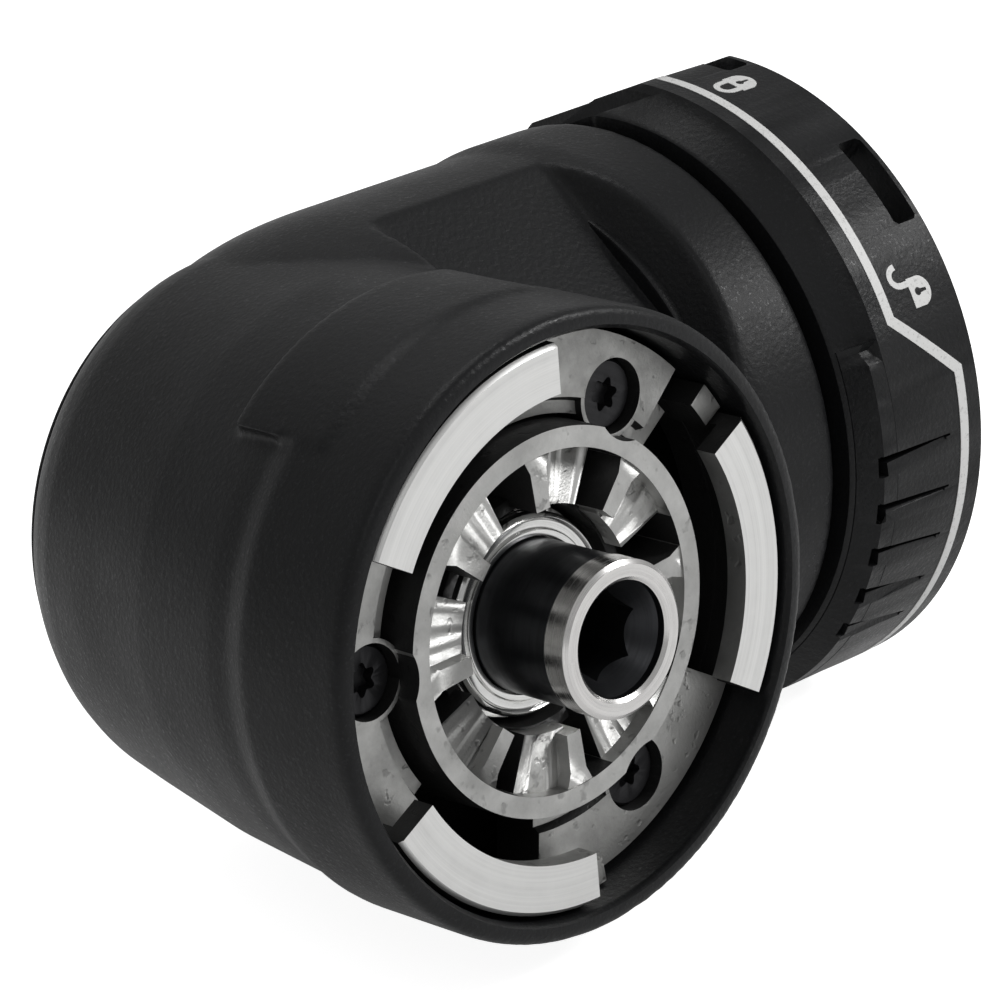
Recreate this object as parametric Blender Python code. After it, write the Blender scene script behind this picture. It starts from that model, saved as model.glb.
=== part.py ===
"""Right-angle drill attachment: a bevel gear head between a bayonet lock ring and a hex bit socket.

Two axes cross at a right angle inside the housing. The output axis runs along -Y and the input axis along +X.
Lengths below are in millimetres. A station is a distance from the crossing, outwards along an axis. Sizes are
chained: radii from the bearings outwards, and stations from the gears outwards, so that what lies round or in
front of a piece moves when that piece grows.
"""

import math

import bmesh
import bpy
from mathutils import Matrix, Vector

MM = 0.001

# Clearances between separate pieces
RUNNING_GAP = 0.25
FACE_GAP = 0.3

# Output ball bearing; the balls run in grooves, so the races come a little closer than the balls are wide
RACE_WALL = 1.9
BALL_R = 1.45
BALL_GROOVE = 0.35
OUT_BEARING_BORE_R = 6.0
OUT_BEARING_OUTER_R = OUT_BEARING_BORE_R + 2 * (RACE_WALL + BALL_R - BALL_GROOVE)
OUT_BEARING_BACK = 22.2
OUT_BEARING_WIDTH = 6.0
OUT_BEARING_FRONT = OUT_BEARING_BACK + OUT_BEARING_WIDTH
OUT_BALL_COUNT = 11

# Output spindle
SPINDLE_REACH = 6.9
TUBE_R = OUT_BEARING_BORE_R + 0.1
SHAFT_R = OUT_BEARING_BORE_R - RUNNING_GAP
TIP_R = TUBE_R + 0.15
TIP_LENGTH = 2.4
TAIL_R = 4.0
HEX_FLATS = 6.35
HEX_DEPTH = 11.0
MOUTH_R = 4.6
MOUTH_DEPTH = 1.5
MOUTH_SLOPE = 1.1
MAGNET_R = 2.6
MAGNET_LENGTH = 4.0
SPINDLE_COLLAR_R = TUBE_R + 1.9
SPINDLE_COLLAR_FRONT = OUT_BEARING_FRONT + 2.4
GEAR_SPACER_R = 7.6
GEAR_HUB_BACK = OUT_BEARING_BACK - 2.0
GEAR_HUB_FRONT = 6.9
GEAR_CLIP_THICKNESS = 0.8
GEAR_CLIP_R = 7.0
CIRCLIP_THICKNESS = 0.8
CIRCLIP_WIDTH = 1.5
CIRCLIP_GAP_ANGLE = 30.0

# Ribbed bearing carrier in the middle of the output face
HUB_WALL = 1.6
HUB_INNER_R = OUT_BEARING_OUTER_R + 1.8
HUB_OUTER_R = HUB_INNER_R + HUB_WALL
HUB_BASE_R = HUB_OUTER_R + 2.2
SPIGOT_R = OUT_BEARING_OUTER_R + 1.5
SPIGOT_BACK = OUT_BEARING_BACK - 1.6
HUB_FLOOR_BACK = OUT_BEARING_FRONT + FACE_GAP
HUB_FLOOR_FRONT = HUB_FLOOR_BACK + 1.0
HUB_HOLE_R = SPINDLE_COLLAR_R + 1.2
HUB_COLLAR_R = HUB_HOLE_R + 1.4
HUB_COLLAR_FRONT = HUB_FLOOR_FRONT + 1.4
RIB_COUNT = 8
RIB_FIRST_ANGLE = 3.0
RIB_WIDTH = 1.6
RIB_FRONT = HUB_FLOOR_FRONT + 3.5
RIB_INNER_R = HUB_HOLE_R - 0.3
HUB_FRONT = RIB_FRONT + 0.6
TIP_FRONT = HUB_FRONT + SPINDLE_REACH

# Gear chamber and bores
BULKHEAD_FRONT = OUT_BEARING_FRONT - 1.9
BULKHEAD_POCKET_R = HUB_BASE_R + FACE_GAP
BULKHEAD_POCKET = BULKHEAD_FRONT - 2.6
HUB_BASE_FRONT = BULKHEAD_FRONT
HUB_BASE_BACK = BULKHEAD_POCKET + FACE_GAP
CHAMBER_R = SPIGOT_R + FACE_GAP
CHAMBER_END = 2.0
REAR_CHAMBER_R = CHAMBER_R + 1.0
REAR_CHAMBER_FRONT = 4.0
PINION_BORE_R = 10.0
PINION_BORE_END = 18.0

# Output flange with its three bayonet pads
FLANGE_INNER_R = HUB_OUTER_R + 0.9
FLANGE_BACK = BULKHEAD_FRONT + FACE_GAP
FLANGE_FLOOR = FLANGE_BACK + 2.3
BOSS_FRONT = FLANGE_FLOOR + 2.7
BOSS_HALF_ANGLE = 28.0
PAD_WIDTH = 4.0
PAD_INNER_R = FLANGE_INNER_R + 2.4
PAD_OUTER_R = PAD_INNER_R + PAD_WIDTH
PAD_BACK = BOSS_FRONT + 1.9
PAD_FRONT = PAD_BACK + 2.0
PAD_HALF_ANGLE = 30.0
PAD_FIRST_ANGLE = -1.0
FLANGE_WALL_R = PAD_OUTER_R - 1.0
LUG_FRONT = BOSS_FRONT + 1.4
LUG_INNER_R = PAD_OUTER_R - 1.5
LUG_START_ANGLE = 32.0
LUG_END_ANGLE = 38.5
FLANGE_SCREW_CIRCLE_R = FLANGE_INNER_R + 1.7
FLANGE_SCREW_FIRST_ANGLE = 58.0
FLANGE_SCREW_HEAD_R = 2.8
FLANGE_SCREW_HEAD_H = 1.6
FLANGE_SCREW_SHANK_R = 1.4
FLANGE_SCREW_LENGTH = 9.0
FLANGE_BOSS_R = FLANGE_SCREW_HEAD_R + 0.8

# Shroud around the output face
RIM_WALL = 1.8
RIM_FRONT = PAD_FRONT + 0.5
RIM_INNER_R = PAD_OUTER_R + 0.5
RIM_OUTER_R = RIM_INNER_R + RIM_WALL
RIM_FACE_R = RIM_OUTER_R - 0.9
RIM_BEVEL = 0.8
SHROUD_LENGTH = 18.0
SHROUD_BACK = RIM_FRONT - SHROUD_LENGTH
SHROUD_STEP = 0.8

# Drum of the housing behind the shroud; its back sits off the output axis, towards the neck
DRUM_FRONT = SHROUD_BACK + 2.0
DRUM_FRONT_R = RIM_OUTER_R - 1.0
DRUM_BACK_R = DRUM_FRONT_R - 1.15
DRUM_BACK = -11.0
DRUM_ROUND = 6.0
DRUM_ROUND_START = -6.5
BACK_CENTRE_X = 5.0

# Back cover and its bush
COVER_BACK = DRUM_BACK - 1.6
COVER_EDGE_R = DRUM_BACK_R - 3.55
COVER_SPIGOT_R = REAR_CHAMBER_R - FACE_GAP
COVER_SPIGOT_DEPTH = 1.6
COVER_BOSS_R = 8.0
COVER_BOSS_FRONT = COVER_BACK + 5.3
TAIL_END = COVER_BACK + 1.4
REAR_BUSH_R = 6.2
COVER_SCREW_CIRCLE_R = COVER_EDGE_R - 1.9
COVER_SCREW_FIRST_ANGLE = 45.0
COVER_SCREW_HEAD_R = 2.1
COVER_SCREW_HEAD_H = 1.2
COVER_SCREW_SHANK_R = 1.0
COVER_SCREW_LENGTH = 6.5
COVER_SCREW_COUNT = 4

# Bevel gears, with their pitch cones meeting where the axes cross
GEAR_MODULE = 1.35
CROWN_TEETH = 18
PINION_TEETH = 12
GEAR_FACE_WIDTH = 4.8
PRESSURE_ANGLE = 20.0
ADDENDUM = 0.85
DEDENDUM = 1.15
BACKLASH = 0.16
CROWN_HUB_R = 8.6
PINION_HUB_R = 6.4
PINION_HUB_BACK = 17.0

# Input shaft, its bush and ball bearing
INPUT_SHAFT_R = 4.0
INPUT_SHAFT_START = 8.6
INPUT_BUSH_R = 6.9
INPUT_BUSH_START = PINION_HUB_BACK + 1.0
INPUT_BUSH_END = INPUT_BUSH_START + 7.0
THRUST_WASHER_R = 6.4
IN_BALL_R = 1.9
IN_BALL_GROOVE = 0.3
IN_BEARING_OUTER_R = INPUT_SHAFT_R + 2 * (RACE_WALL + IN_BALL_R - IN_BALL_GROOVE)
IN_BEARING_START = INPUT_BUSH_END + 6.0
IN_BEARING_WIDTH = 7.0
IN_BALL_COUNT = 8
SHIM_THICKNESS = 0.5
SHIM_WIDTH = 1.6
SEAL_R = 6.4
SEAL_LENGTH = 2.5

# Neck of the housing, about the input axis
FLANGE_SPIGOT_START = IN_BEARING_START + IN_BEARING_WIDTH + 1.4
NECK_R = RIM_OUTER_R
NECK_ROUND_END = 14.0
NECK_START = -3.0
NECK_START_R = NECK_R - 3.5
COLLAR_FACE = FLANGE_SPIGOT_START + 0.4
COLLAR_START = COLLAR_FACE - 6.3
COLLAR_R = NECK_R + 0.4
PANEL_START = 11.3
PANEL_END = COLLAR_START - 2.5
PANEL_ANGLES = (41.0, 139.0)
PANEL_DISTANCE = NECK_R - 4.3
NECK_BACK_SLOPE_START = 26.2
NECK_BACK_SLOPE_END = COLLAR_FACE - 2.8

# Lock ring, its claws and what keeps it on the sleeve of the neck
RING_NEAR = COLLAR_FACE + 1.2
RING_BEVEL_END = RING_NEAR + 1.8
RING_BORE_END = RING_NEAR + 4.7
SNAP_RING_START = RING_BORE_END + 1.4
SNAP_RING_THICKNESS = 0.8
SLEEVE_R = NECK_R - 2.8
SLEEVE_END = SNAP_RING_START + 2.4
SNAP_GROOVE_R = SLEEVE_R - 1.0
WAVE_THICKNESS = 0.4
WAVE_HEIGHT = 0.25
WAVE_COUNT = 4
RING_STEP_R = SLEEVE_R + 1.7
BAYONET_START = SLEEVE_END + 0.5
BAYONET_PLATE = 1.4
FLANGE_DISC_R = IN_BEARING_OUTER_R + 4.6
BAYONET_INNER_R = FLANGE_DISC_R + 0.4
SKIRT_START = BAYONET_START + 1.2
SKIRT_INNER_R = RING_STEP_R + 1.5
SKIRT_WALL = 2.6
RING_R = SKIRT_INNER_R + SKIRT_WALL
RING_NEAR_R = RING_R - 2.0
SLOT_START = SKIRT_START + 1.3
SLOT_WIDTH = 2.7
SLOT_END = SLOT_START + SLOT_WIDTH
SLOT_HALF_ANGLE = 9.0
SLOT_ANGLES = (0.0, 45.0, 180.0, 225.0)
RING_FAR = SLOT_END + 0.8
RING_EDGE_BEVEL = 0.4
CLAW_COUNT = 3
CLAW_FIRST_ANGLE = 60.0
CLAW_HALF_ANGLE = 20.0
CLAW_WEB_R = BAYONET_INNER_R + 2.1
CLAW_HOOK_R = CLAW_WEB_R + 3.7
CLAW_HOOK_THICKNESS = 1.4
CLAW_END = RING_FAR - 0.4
GRIP_GROOVE_ANGLES = (93.0, 101.5, 110.0, 118.5, 127.0)
GRIP_GROOVE_SLANT = 5.0
GRIP_GROOVE_START = RING_NEAR + 1.0
GRIP_GROOVE_END = GRIP_GROOVE_START + 10.0
GRIP_GROOVE_WIDTH = 0.8
GRIP_GROOVE_DEPTH = 0.7

# Input flange that seats on the driving tool
DISC_THICKNESS = 3.8
FLANGE_DISC_FRONT = SLEEVE_END + FACE_GAP + DISC_THICKNESS
NOSE_RECESS_R = 7.2
NOSE_RECESS_FLOOR = FLANGE_DISC_FRONT - 8.0
SEAL_SEAT_END = NOSE_RECESS_FLOOR - 1.8
INPUT_SHAFT_SHOULDER = NOSE_RECESS_FLOOR + 0.8
HEX_END = FLANGE_DISC_FRONT + 2.0
DOG_COUNT = 4
DOG_FIRST_ANGLE = 45.0
DOG_INNER_R = 9.6
DOG_OUTER_R = 12.6
DOG_HALF_ANGLE = 7.0
DOG_HEIGHT = 1.9
INPUT_SCREW_COUNT = 4
INPUT_SCREW_CIRCLE_R = FLANGE_DISC_R - 2.6
INPUT_SCREW_HEAD_R = 1.9
INPUT_SCREW_HEAD_H = 1.3
INPUT_SCREW_SHANK_R = 1.0
INPUT_SCREW_LENGTH = 9.0

# Six-lobed screw sockets
SOCKET_TURN = 7.0

# Facets round each kind of piece
SHELL_FACETS = 56
RING_FACETS = 48
BORE_FACETS = 32
BEARING_FACETS = 24
SCREW_FACETS = 12
BALL_FACETS = 6
BALL_ROWS = 4

FINISHES = {
    "black_nylon": ((0.018, 0.019, 0.021), 0.62, 0.0),
    "ring_nylon": ((0.020, 0.021, 0.023), 0.58, 0.0),
    "cast_alloy": ((0.48, 0.48, 0.47), 0.50, 0.9),
    "black_steel": ((0.030, 0.030, 0.032), 0.35, 0.8),
    "bright_steel": ((0.62, 0.61, 0.60), 0.22, 1.0),
    "gear_steel": ((0.33, 0.33, 0.34), 0.35, 1.0),
    "spring_steel": ((0.28, 0.28, 0.30), 0.35, 1.0),
    "bronze": ((0.55, 0.36, 0.18), 0.45, 1.0),
    "magnet": ((0.45, 0.45, 0.47), 0.25, 1.0),
    "rubber": ((0.02, 0.02, 0.02), 0.80, 0.0),
}

# Local axes of the two lines of pieces: across, across, outwards
OUTPUT_FRAME = Matrix(((1, 0, 0), (0, 0, -1), (0, 1, 0))).to_4x4()
INPUT_FRAME = Matrix(((0, 0, 1), (0, -1, 0), (1, 0, 0))).to_4x4()

# The origin is under the middle of the part's bounding box, on the surface it lies on
CENTRE = Vector(
    (
        (RIM_OUTER_R - RING_FAR) / 2,
        (TIP_FRONT - RING_R) / 2,
        RING_R,
    )
)


def clear_scene():
    """Remove whatever the scene holds."""
    for item in list(bpy.data.objects):
        bpy.data.objects.remove(item, do_unlink=True)


def make_material(name):
    """A Principled material of one of the finishes."""
    colour, roughness, metallic = FINISHES[name]
    material = bpy.data.materials.new(name)
    material.use_nodes = True
    shader = material.node_tree.nodes["Principled BSDF"]
    shader.inputs["Base Color"].default_value = (*colour, 1.0)
    shader.inputs["Roughness"].default_value = roughness
    shader.inputs["Metallic"].default_value = metallic
    material.diffuse_color = (*colour, 1.0)
    return material


def make_empty(name, matrix, parent=None):
    """An empty whose local axes are a line of pieces."""
    empty = bpy.data.objects.new(name, None)
    bpy.context.scene.collection.objects.link(empty)
    empty.parent = parent
    empty.matrix_local = matrix
    return empty


def finish_mesh(name, mesh_data, offset=(0.0, 0.0)):
    """Close a bmesh given in millimetres and make it a linked object in metres."""
    bmesh.ops.translate(mesh_data, verts=mesh_data.verts, vec=(offset[0], offset[1], 0.0))
    bmesh.ops.scale(mesh_data, verts=mesh_data.verts, vec=(MM, MM, MM))
    bmesh.ops.recalc_face_normals(mesh_data, faces=mesh_data.faces)
    mesh = bpy.data.meshes.new(name)
    mesh_data.to_mesh(mesh)
    mesh_data.free()
    item = bpy.data.objects.new(name, mesh)
    bpy.context.scene.collection.objects.link(item)
    return item


def stitch(mesh_data, loops, closed):
    """Join loops of vertices into a skin; an empty loop stands for the axis and leaves a flat end."""
    pairs = list(zip(loops, loops[1:]))
    if closed:
        pairs.append((loops[-1], loops[0]))
    for first, second in pairs:
        if first and second:
            for i in range(len(first)):
                j = (i + 1) % len(first)
                mesh_data.faces.new((first[i], first[j], second[j], second[i]))
        elif first or second:
            mesh_data.faces.new(first or second)


def lathe(name, profile, facets, offset=(0.0, 0.0), wave=None):
    """A turned solid from a closed outline of (radius, station) points."""
    mesh_data = bmesh.new()
    loops = []
    for radius, station in profile:
        loop = []
        for i in range(facets if radius > 0 else 0):
            angle = 2 * math.pi * i / facets
            lift = wave(angle) if wave else 0.0
            loop.append(
                mesh_data.verts.new((radius * math.cos(angle), radius * math.sin(angle), station + lift))
            )
        loops.append(loop)
    stitch(mesh_data, loops, closed=True)
    return finish_mesh(name, mesh_data, offset)


def prism(name, outline, start, end, offset=(0.0, 0.0)):
    """A straight solid from an outline of (x, y) points, between two stations."""
    mesh_data = bmesh.new()
    loops = [[mesh_data.verts.new((x, y, station)) for x, y in outline] for station in (start, end)]
    stitch(mesh_data, loops, closed=False)
    for loop in loops:
        mesh_data.faces.new(loop)
    return finish_mesh(name, mesh_data, offset)


def swept(name, profile, start_angle, end_angle, steps):
    """A solid from a closed outline of (radius, station) points, swept over part of a turn."""
    mesh_data = bmesh.new()
    loops = []
    for i in range(steps + 1):
        angle = math.radians(start_angle + (end_angle - start_angle) * i / steps)
        loops.append(
            [mesh_data.verts.new((radius * math.cos(angle), radius * math.sin(angle), z)) for radius, z in profile]
        )
    stitch(mesh_data, loops, closed=False)
    mesh_data.faces.new(loops[0])
    mesh_data.faces.new(loops[-1])
    return finish_mesh(name, mesh_data)


def arc(radius, start_angle, end_angle, steps):
    """Points along an arc, angles in degrees."""
    points = []
    for i in range(steps + 1):
        angle = math.radians(start_angle + (end_angle - start_angle) * i / steps)
        points.append((radius * math.cos(angle), radius * math.sin(angle)))
    return points


def sector(inner_r, outer_r, start_angle, end_angle, steps):
    """The outline of a piece of a ring."""
    return arc(outer_r, start_angle, end_angle, steps) + arc(inner_r, end_angle, start_angle, steps)


def polygon(radius, sides, first_angle=0.0):
    """Corners of a regular polygon, by its corner radius."""
    return arc(radius, first_angle, first_angle + 360.0 * (sides - 1) / sides, sides - 1)


def polar(radius, angle):
    """A point by radius and angle in degrees."""
    return radius * math.cos(math.radians(angle)), radius * math.sin(math.radians(angle))


def move(item, matrix):
    """Bake a move given in millimetres into a mesh."""
    scaled = matrix.copy()
    scaled.translation = matrix.translation * MM
    item.data.transform(scaled)
    return item


def is_closed(mesh):
    """Whether every edge of a mesh has two faces."""
    mesh_data = bmesh.new()
    mesh_data.from_mesh(mesh)
    closed = all(len(edge.link_faces) == 2 for edge in mesh_data.edges)
    mesh_data.free()
    return closed


def combine(body, tools, operation):
    """Cut or join meshes for good and remove the tools."""
    for tool in tools:
        modifier = body.modifiers.new("combine", "BOOLEAN")
        modifier.operation = operation
        modifier.object = tool
        for solver in ("EXACT", "MANIFOLD"):
            modifier.solver = solver
            graph = bpy.context.evaluated_depsgraph_get()
            mesh = bpy.data.meshes.new_from_object(body.evaluated_get(graph))
            if is_closed(mesh):
                break
        body.modifiers.clear()
        body.data = mesh
        bpy.data.objects.remove(tool, do_unlink=True)
    return body


def cut(body, *tools):
    """Take the tools away from a body."""
    return combine(body, tools, "DIFFERENCE")


def join(body, *tools):
    """Add the tools to a body."""
    return combine(body, tools, "UNION")


def ring_profile(inner_r, outer_r, start, end):
    """The outline of a plain ring."""
    return [(outer_r, end), (outer_r, start), (inner_r, start), (inner_r, end)]


def place(item, frame, finish, materials, name=None):
    """Hang a piece on its axis, give it its name and its finish."""
    if name:
        item.name = name
        item.data.name = name
    item.parent = frame
    item.data.materials.clear()
    item.data.materials.append(materials[finish])
    item.data.shade_smooth()
    item.data.set_sharp_from_angle(angle=math.radians(30))
    return item


def copy_piece(item, name):
    """Another object with its own copy of a mesh."""
    twin = bpy.data.objects.new(name, item.data.copy())
    bpy.context.scene.collection.objects.link(twin)
    return twin


def spaced(first_angle, count):
    """Evenly spaced angles round a circle."""
    return [first_angle + 360.0 * i / count for i in range(count)]


def drum_radius(station):
    """Outer radius of the drum, which tapers back and rounds over at its end."""
    share = (DRUM_FRONT - station) / (DRUM_FRONT - DRUM_BACK)
    radius = DRUM_FRONT_R + (DRUM_BACK_R - DRUM_FRONT_R) * share
    past = DRUM_ROUND_START - station
    if past > 0:
        radius -= DRUM_ROUND - math.sqrt(DRUM_ROUND**2 - past**2)
    return radius


def drum_offset(station):
    """How far the drum's section has moved towards the neck."""
    return BACK_CENTRE_X * (DRUM_FRONT - station) / (DRUM_FRONT - DRUM_BACK)


def drum_solid():
    """The drum as circles lofted back along the output axis."""
    stations = [DRUM_FRONT, 12.0, 4.0, -3.0, DRUM_ROUND_START, -8.5, -10.0, DRUM_BACK]
    mesh_data = bmesh.new()
    loops = []
    for station in stations:
        radius = drum_radius(station)
        centre = drum_offset(station)
        points = polygon(radius, SHELL_FACETS)
        loops.append([mesh_data.verts.new((x + centre, y, station)) for x, y in points])
    stitch(mesh_data, loops, closed=False)
    mesh_data.faces.new(loops[0])
    mesh_data.faces.new(loops[-1])
    return finish_mesh("drum", mesh_data)


def neck_radius(station):
    """Outer radius of the neck where it rounds over into the drum."""
    share = (NECK_ROUND_END - station) / (NECK_ROUND_END - NECK_START)
    return NECK_R - (NECK_R - NECK_START_R) * share**2.2


def neck_solid():
    """The neck with its sleeve, its flat side panel and its sloped back."""
    profile = [(0.0, SLEEVE_END), (SLEEVE_R - 0.5, SLEEVE_END), (SLEEVE_R, SLEEVE_END - 0.5)]
    profile += [(SLEEVE_R, COLLAR_FACE), (COLLAR_R, COLLAR_FACE), (COLLAR_R, COLLAR_START), (NECK_R, PANEL_END)]
    steps = 6
    for i in range(steps + 1):
        station = NECK_ROUND_END + (NECK_START - NECK_ROUND_END) * i / steps
        profile.append((neck_radius(station), station))
    profile.append((0.0, NECK_START))
    neck = move(lathe("neck", profile, SHELL_FACETS), INPUT_FRAME)

    reach = 2 * RING_R
    rise = (reach - COLLAR_R) * (COLLAR_START - PANEL_END) / (COLLAR_R - PANEL_DISTANCE)
    outline = [
        (PANEL_DISTANCE, PANEL_START),
        (PANEL_DISTANCE, PANEL_END),
        (COLLAR_R, COLLAR_START),
        (reach, COLLAR_START + rise),
        (reach, PANEL_START),
    ]
    # The outline holds distances from the axis and stations, so the prism's length runs across the neck
    across = Matrix(((1, 0, 0), (0, 0, -1), (0, 1, 0))).to_4x4()
    panels = []
    for angle in PANEL_ANGLES:
        panel = prism("panel", outline, -reach, reach)
        panels.append(move(panel, INPUT_FRAME @ Matrix.Rotation(math.radians(angle), 4, "Z") @ across))

    slope = prism(
        "slope",
        [
            (-reach, -DRUM_BACK),
            (NECK_BACK_SLOPE_START, -DRUM_BACK),
            (NECK_BACK_SLOPE_END, COLLAR_R + 0.2),
            (NECK_BACK_SLOPE_END, reach),
            (-reach, reach),
        ],
        -reach,
        reach,
    )
    return neck, panels, slope


def shroud_solid():
    """The round wall that surrounds the output face."""
    profile = [
        (0.0, RIM_FRONT),
        (RIM_FACE_R, RIM_FRONT),
        (RIM_OUTER_R, RIM_FRONT - RIM_BEVEL),
        (RIM_OUTER_R, SHROUD_BACK + SHROUD_STEP),
        (RIM_OUTER_R - SHROUD_STEP, SHROUD_BACK),
        (0.0, SHROUD_BACK),
    ]
    return move(lathe("shroud", profile, SHELL_FACETS), OUTPUT_FRAME)


def screw_hole(radius, centre, start, end):
    """A round hole for a screw, between two stations."""
    return lathe("hole", [(0.0, end), (radius, end), (radius, start), (0.0, start)], SCREW_FACETS, centre)


def make_housing():
    """The one-piece housing shell."""
    neck, panels, slope = neck_solid()
    body = move(drum_solid(), OUTPUT_FRAME)
    join(body, neck)
    cut(body, *panels, slope)
    join(body, shroud_solid())

    front = 2 * RIM_FRONT
    face_cut = [
        (0.0, front),
        (RIM_INNER_R, front),
        (RIM_INNER_R, BULKHEAD_FRONT),
        (BULKHEAD_POCKET_R, BULKHEAD_FRONT),
        (BULKHEAD_POCKET_R, BULKHEAD_POCKET),
        (CHAMBER_R, BULKHEAD_POCKET),
        (CHAMBER_R, CHAMBER_END),
        (0.0, CHAMBER_END),
    ]
    cut(body, move(lathe("face_cut", face_cut, SHELL_FACETS), OUTPUT_FRAME))
    rear_cut = [
        (0.0, REAR_CHAMBER_FRONT),
        (REAR_CHAMBER_R, REAR_CHAMBER_FRONT),
        (REAR_CHAMBER_R, 2 * DRUM_BACK),
        (0.0, 2 * DRUM_BACK),
    ]
    cut(body, move(lathe("rear_cut", rear_cut, BORE_FACETS, (BACK_CENTRE_X, 0.0)), OUTPUT_FRAME))

    bush_seat = INPUT_BUSH_R + RUNNING_GAP
    shaft_way = INPUT_SHAFT_R + 2.0
    bearing_seat = IN_BEARING_OUTER_R
    seat_start = IN_BEARING_START - FACE_GAP
    bore = [
        (0.0, 2 * SLEEVE_END),
        (bearing_seat, 2 * SLEEVE_END),
        (bearing_seat, seat_start),
        (shaft_way, seat_start),
        (shaft_way, INPUT_BUSH_END + FACE_GAP),
        (bush_seat, INPUT_BUSH_END + FACE_GAP),
        (bush_seat, PINION_BORE_END),
        (PINION_BORE_R, PINION_BORE_END),
        (PINION_BORE_R, 0.0),
        (0.0, 0.0),
    ]
    cut(body, move(lathe("bore", bore, BORE_FACETS), INPUT_FRAME))
    groove = ring_profile(
        SNAP_GROOVE_R, RING_R, SNAP_RING_START - 0.2, SNAP_RING_START + SNAP_RING_THICKNESS + 0.2
    )
    cut(body, move(lathe("groove", groove, SHELL_FACETS), INPUT_FRAME))

    for angle in spaced(FLANGE_SCREW_FIRST_ANGLE, 3):
        centre = polar(FLANGE_SCREW_CIRCLE_R, angle)
        end = BOSS_FRONT - FLANGE_SCREW_LENGTH - 1.0
        cut(body, move(screw_hole(FLANGE_SCREW_SHANK_R + RUNNING_GAP, centre, end, RIM_FRONT), OUTPUT_FRAME))
    for angle in spaced(0.0, INPUT_SCREW_COUNT):
        centre = polar(INPUT_SCREW_CIRCLE_R, angle)
        start = FLANGE_DISC_FRONT - INPUT_SCREW_LENGTH - 1.0
        cut(body, move(screw_hole(INPUT_SCREW_SHANK_R + RUNNING_GAP, centre, start, 2 * SLEEVE_END), INPUT_FRAME))
    for angle in spaced(COVER_SCREW_FIRST_ANGLE, COVER_SCREW_COUNT):
        x, y = polar(COVER_SCREW_CIRCLE_R, angle)
        end = COVER_BACK + COVER_SCREW_LENGTH + 1.0
        hole = screw_hole(COVER_SCREW_SHANK_R + RUNNING_GAP, (x + BACK_CENTRE_X, y), 2 * DRUM_BACK, end)
        cut(body, move(hole, OUTPUT_FRAME))
    body.name = "housing_body"
    return body


def make_back_cover():
    """The round cover behind the gears, with the boss of the rear bush."""
    edge = DRUM_BACK - FACE_GAP
    spigot = edge + COVER_SPIGOT_DEPTH
    profile = [
        (0.0, COVER_BACK),
        (COVER_EDGE_R - 0.8, COVER_BACK),
        (COVER_EDGE_R, COVER_BACK + 0.5),
        (drum_radius(edge), edge),
        (COVER_SPIGOT_R, edge),
        (COVER_SPIGOT_R, spigot),
        (0.0, spigot),
    ]
    cover = lathe("back_cover", profile, SHELL_FACETS, (BACK_CENTRE_X, 0.0))
    boss = [(0.0, COVER_BOSS_FRONT), (COVER_BOSS_R, COVER_BOSS_FRONT), (COVER_BOSS_R, edge), (0.0, edge)]
    join(cover, lathe("boss", boss, BEARING_FACETS))
    seat_r = REAR_BUSH_R + RUNNING_GAP
    floor = COVER_BACK + 0.8
    seat = [(0.0, 0.0), (seat_r, 0.0), (seat_r, floor), (0.0, floor)]
    cut(cover, lathe("seat", seat, BEARING_FACETS))
    for angle in spaced(COVER_SCREW_FIRST_ANGLE, COVER_SCREW_COUNT):
        x, y = polar(COVER_SCREW_CIRCLE_R, angle)
        centre = (x + BACK_CENTRE_X, y)
        head_seat = COVER_BACK + COVER_SCREW_HEAD_H
        profile = [
            (0.0, 0.0),
            (COVER_SCREW_SHANK_R + RUNNING_GAP, 0.0),
            (COVER_SCREW_SHANK_R + RUNNING_GAP, head_seat),
            (COVER_SCREW_HEAD_R + RUNNING_GAP, head_seat),
            (COVER_SCREW_HEAD_R + RUNNING_GAP, 2 * COVER_BACK),
            (0.0, 2 * COVER_BACK),
        ]
        cut(cover, lathe("screw_seat", profile, SCREW_FACETS, centre))
    return cover


def make_screw(head_r, head_h, shank_r, length):
    """A flat-headed screw with a six-lobed socket; its head's top is at station 0."""
    profile = [
        (0.0, 0.0),
        (head_r, 0.0),
        (head_r, -head_h),
        (shank_r, -head_h),
        (shank_r, -length),
        (0.0, -length),
    ]
    screw = lathe("screw", profile, SCREW_FACETS)
    lobes = []
    for i in range(12):
        radius = head_r * (0.52 if i % 2 == 0 else 0.36)
        lobes.append(polar(radius, SOCKET_TURN + 30.0 * i))
    return cut(screw, prism("socket", lobes, -head_h * 0.6, 1.0))


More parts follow.
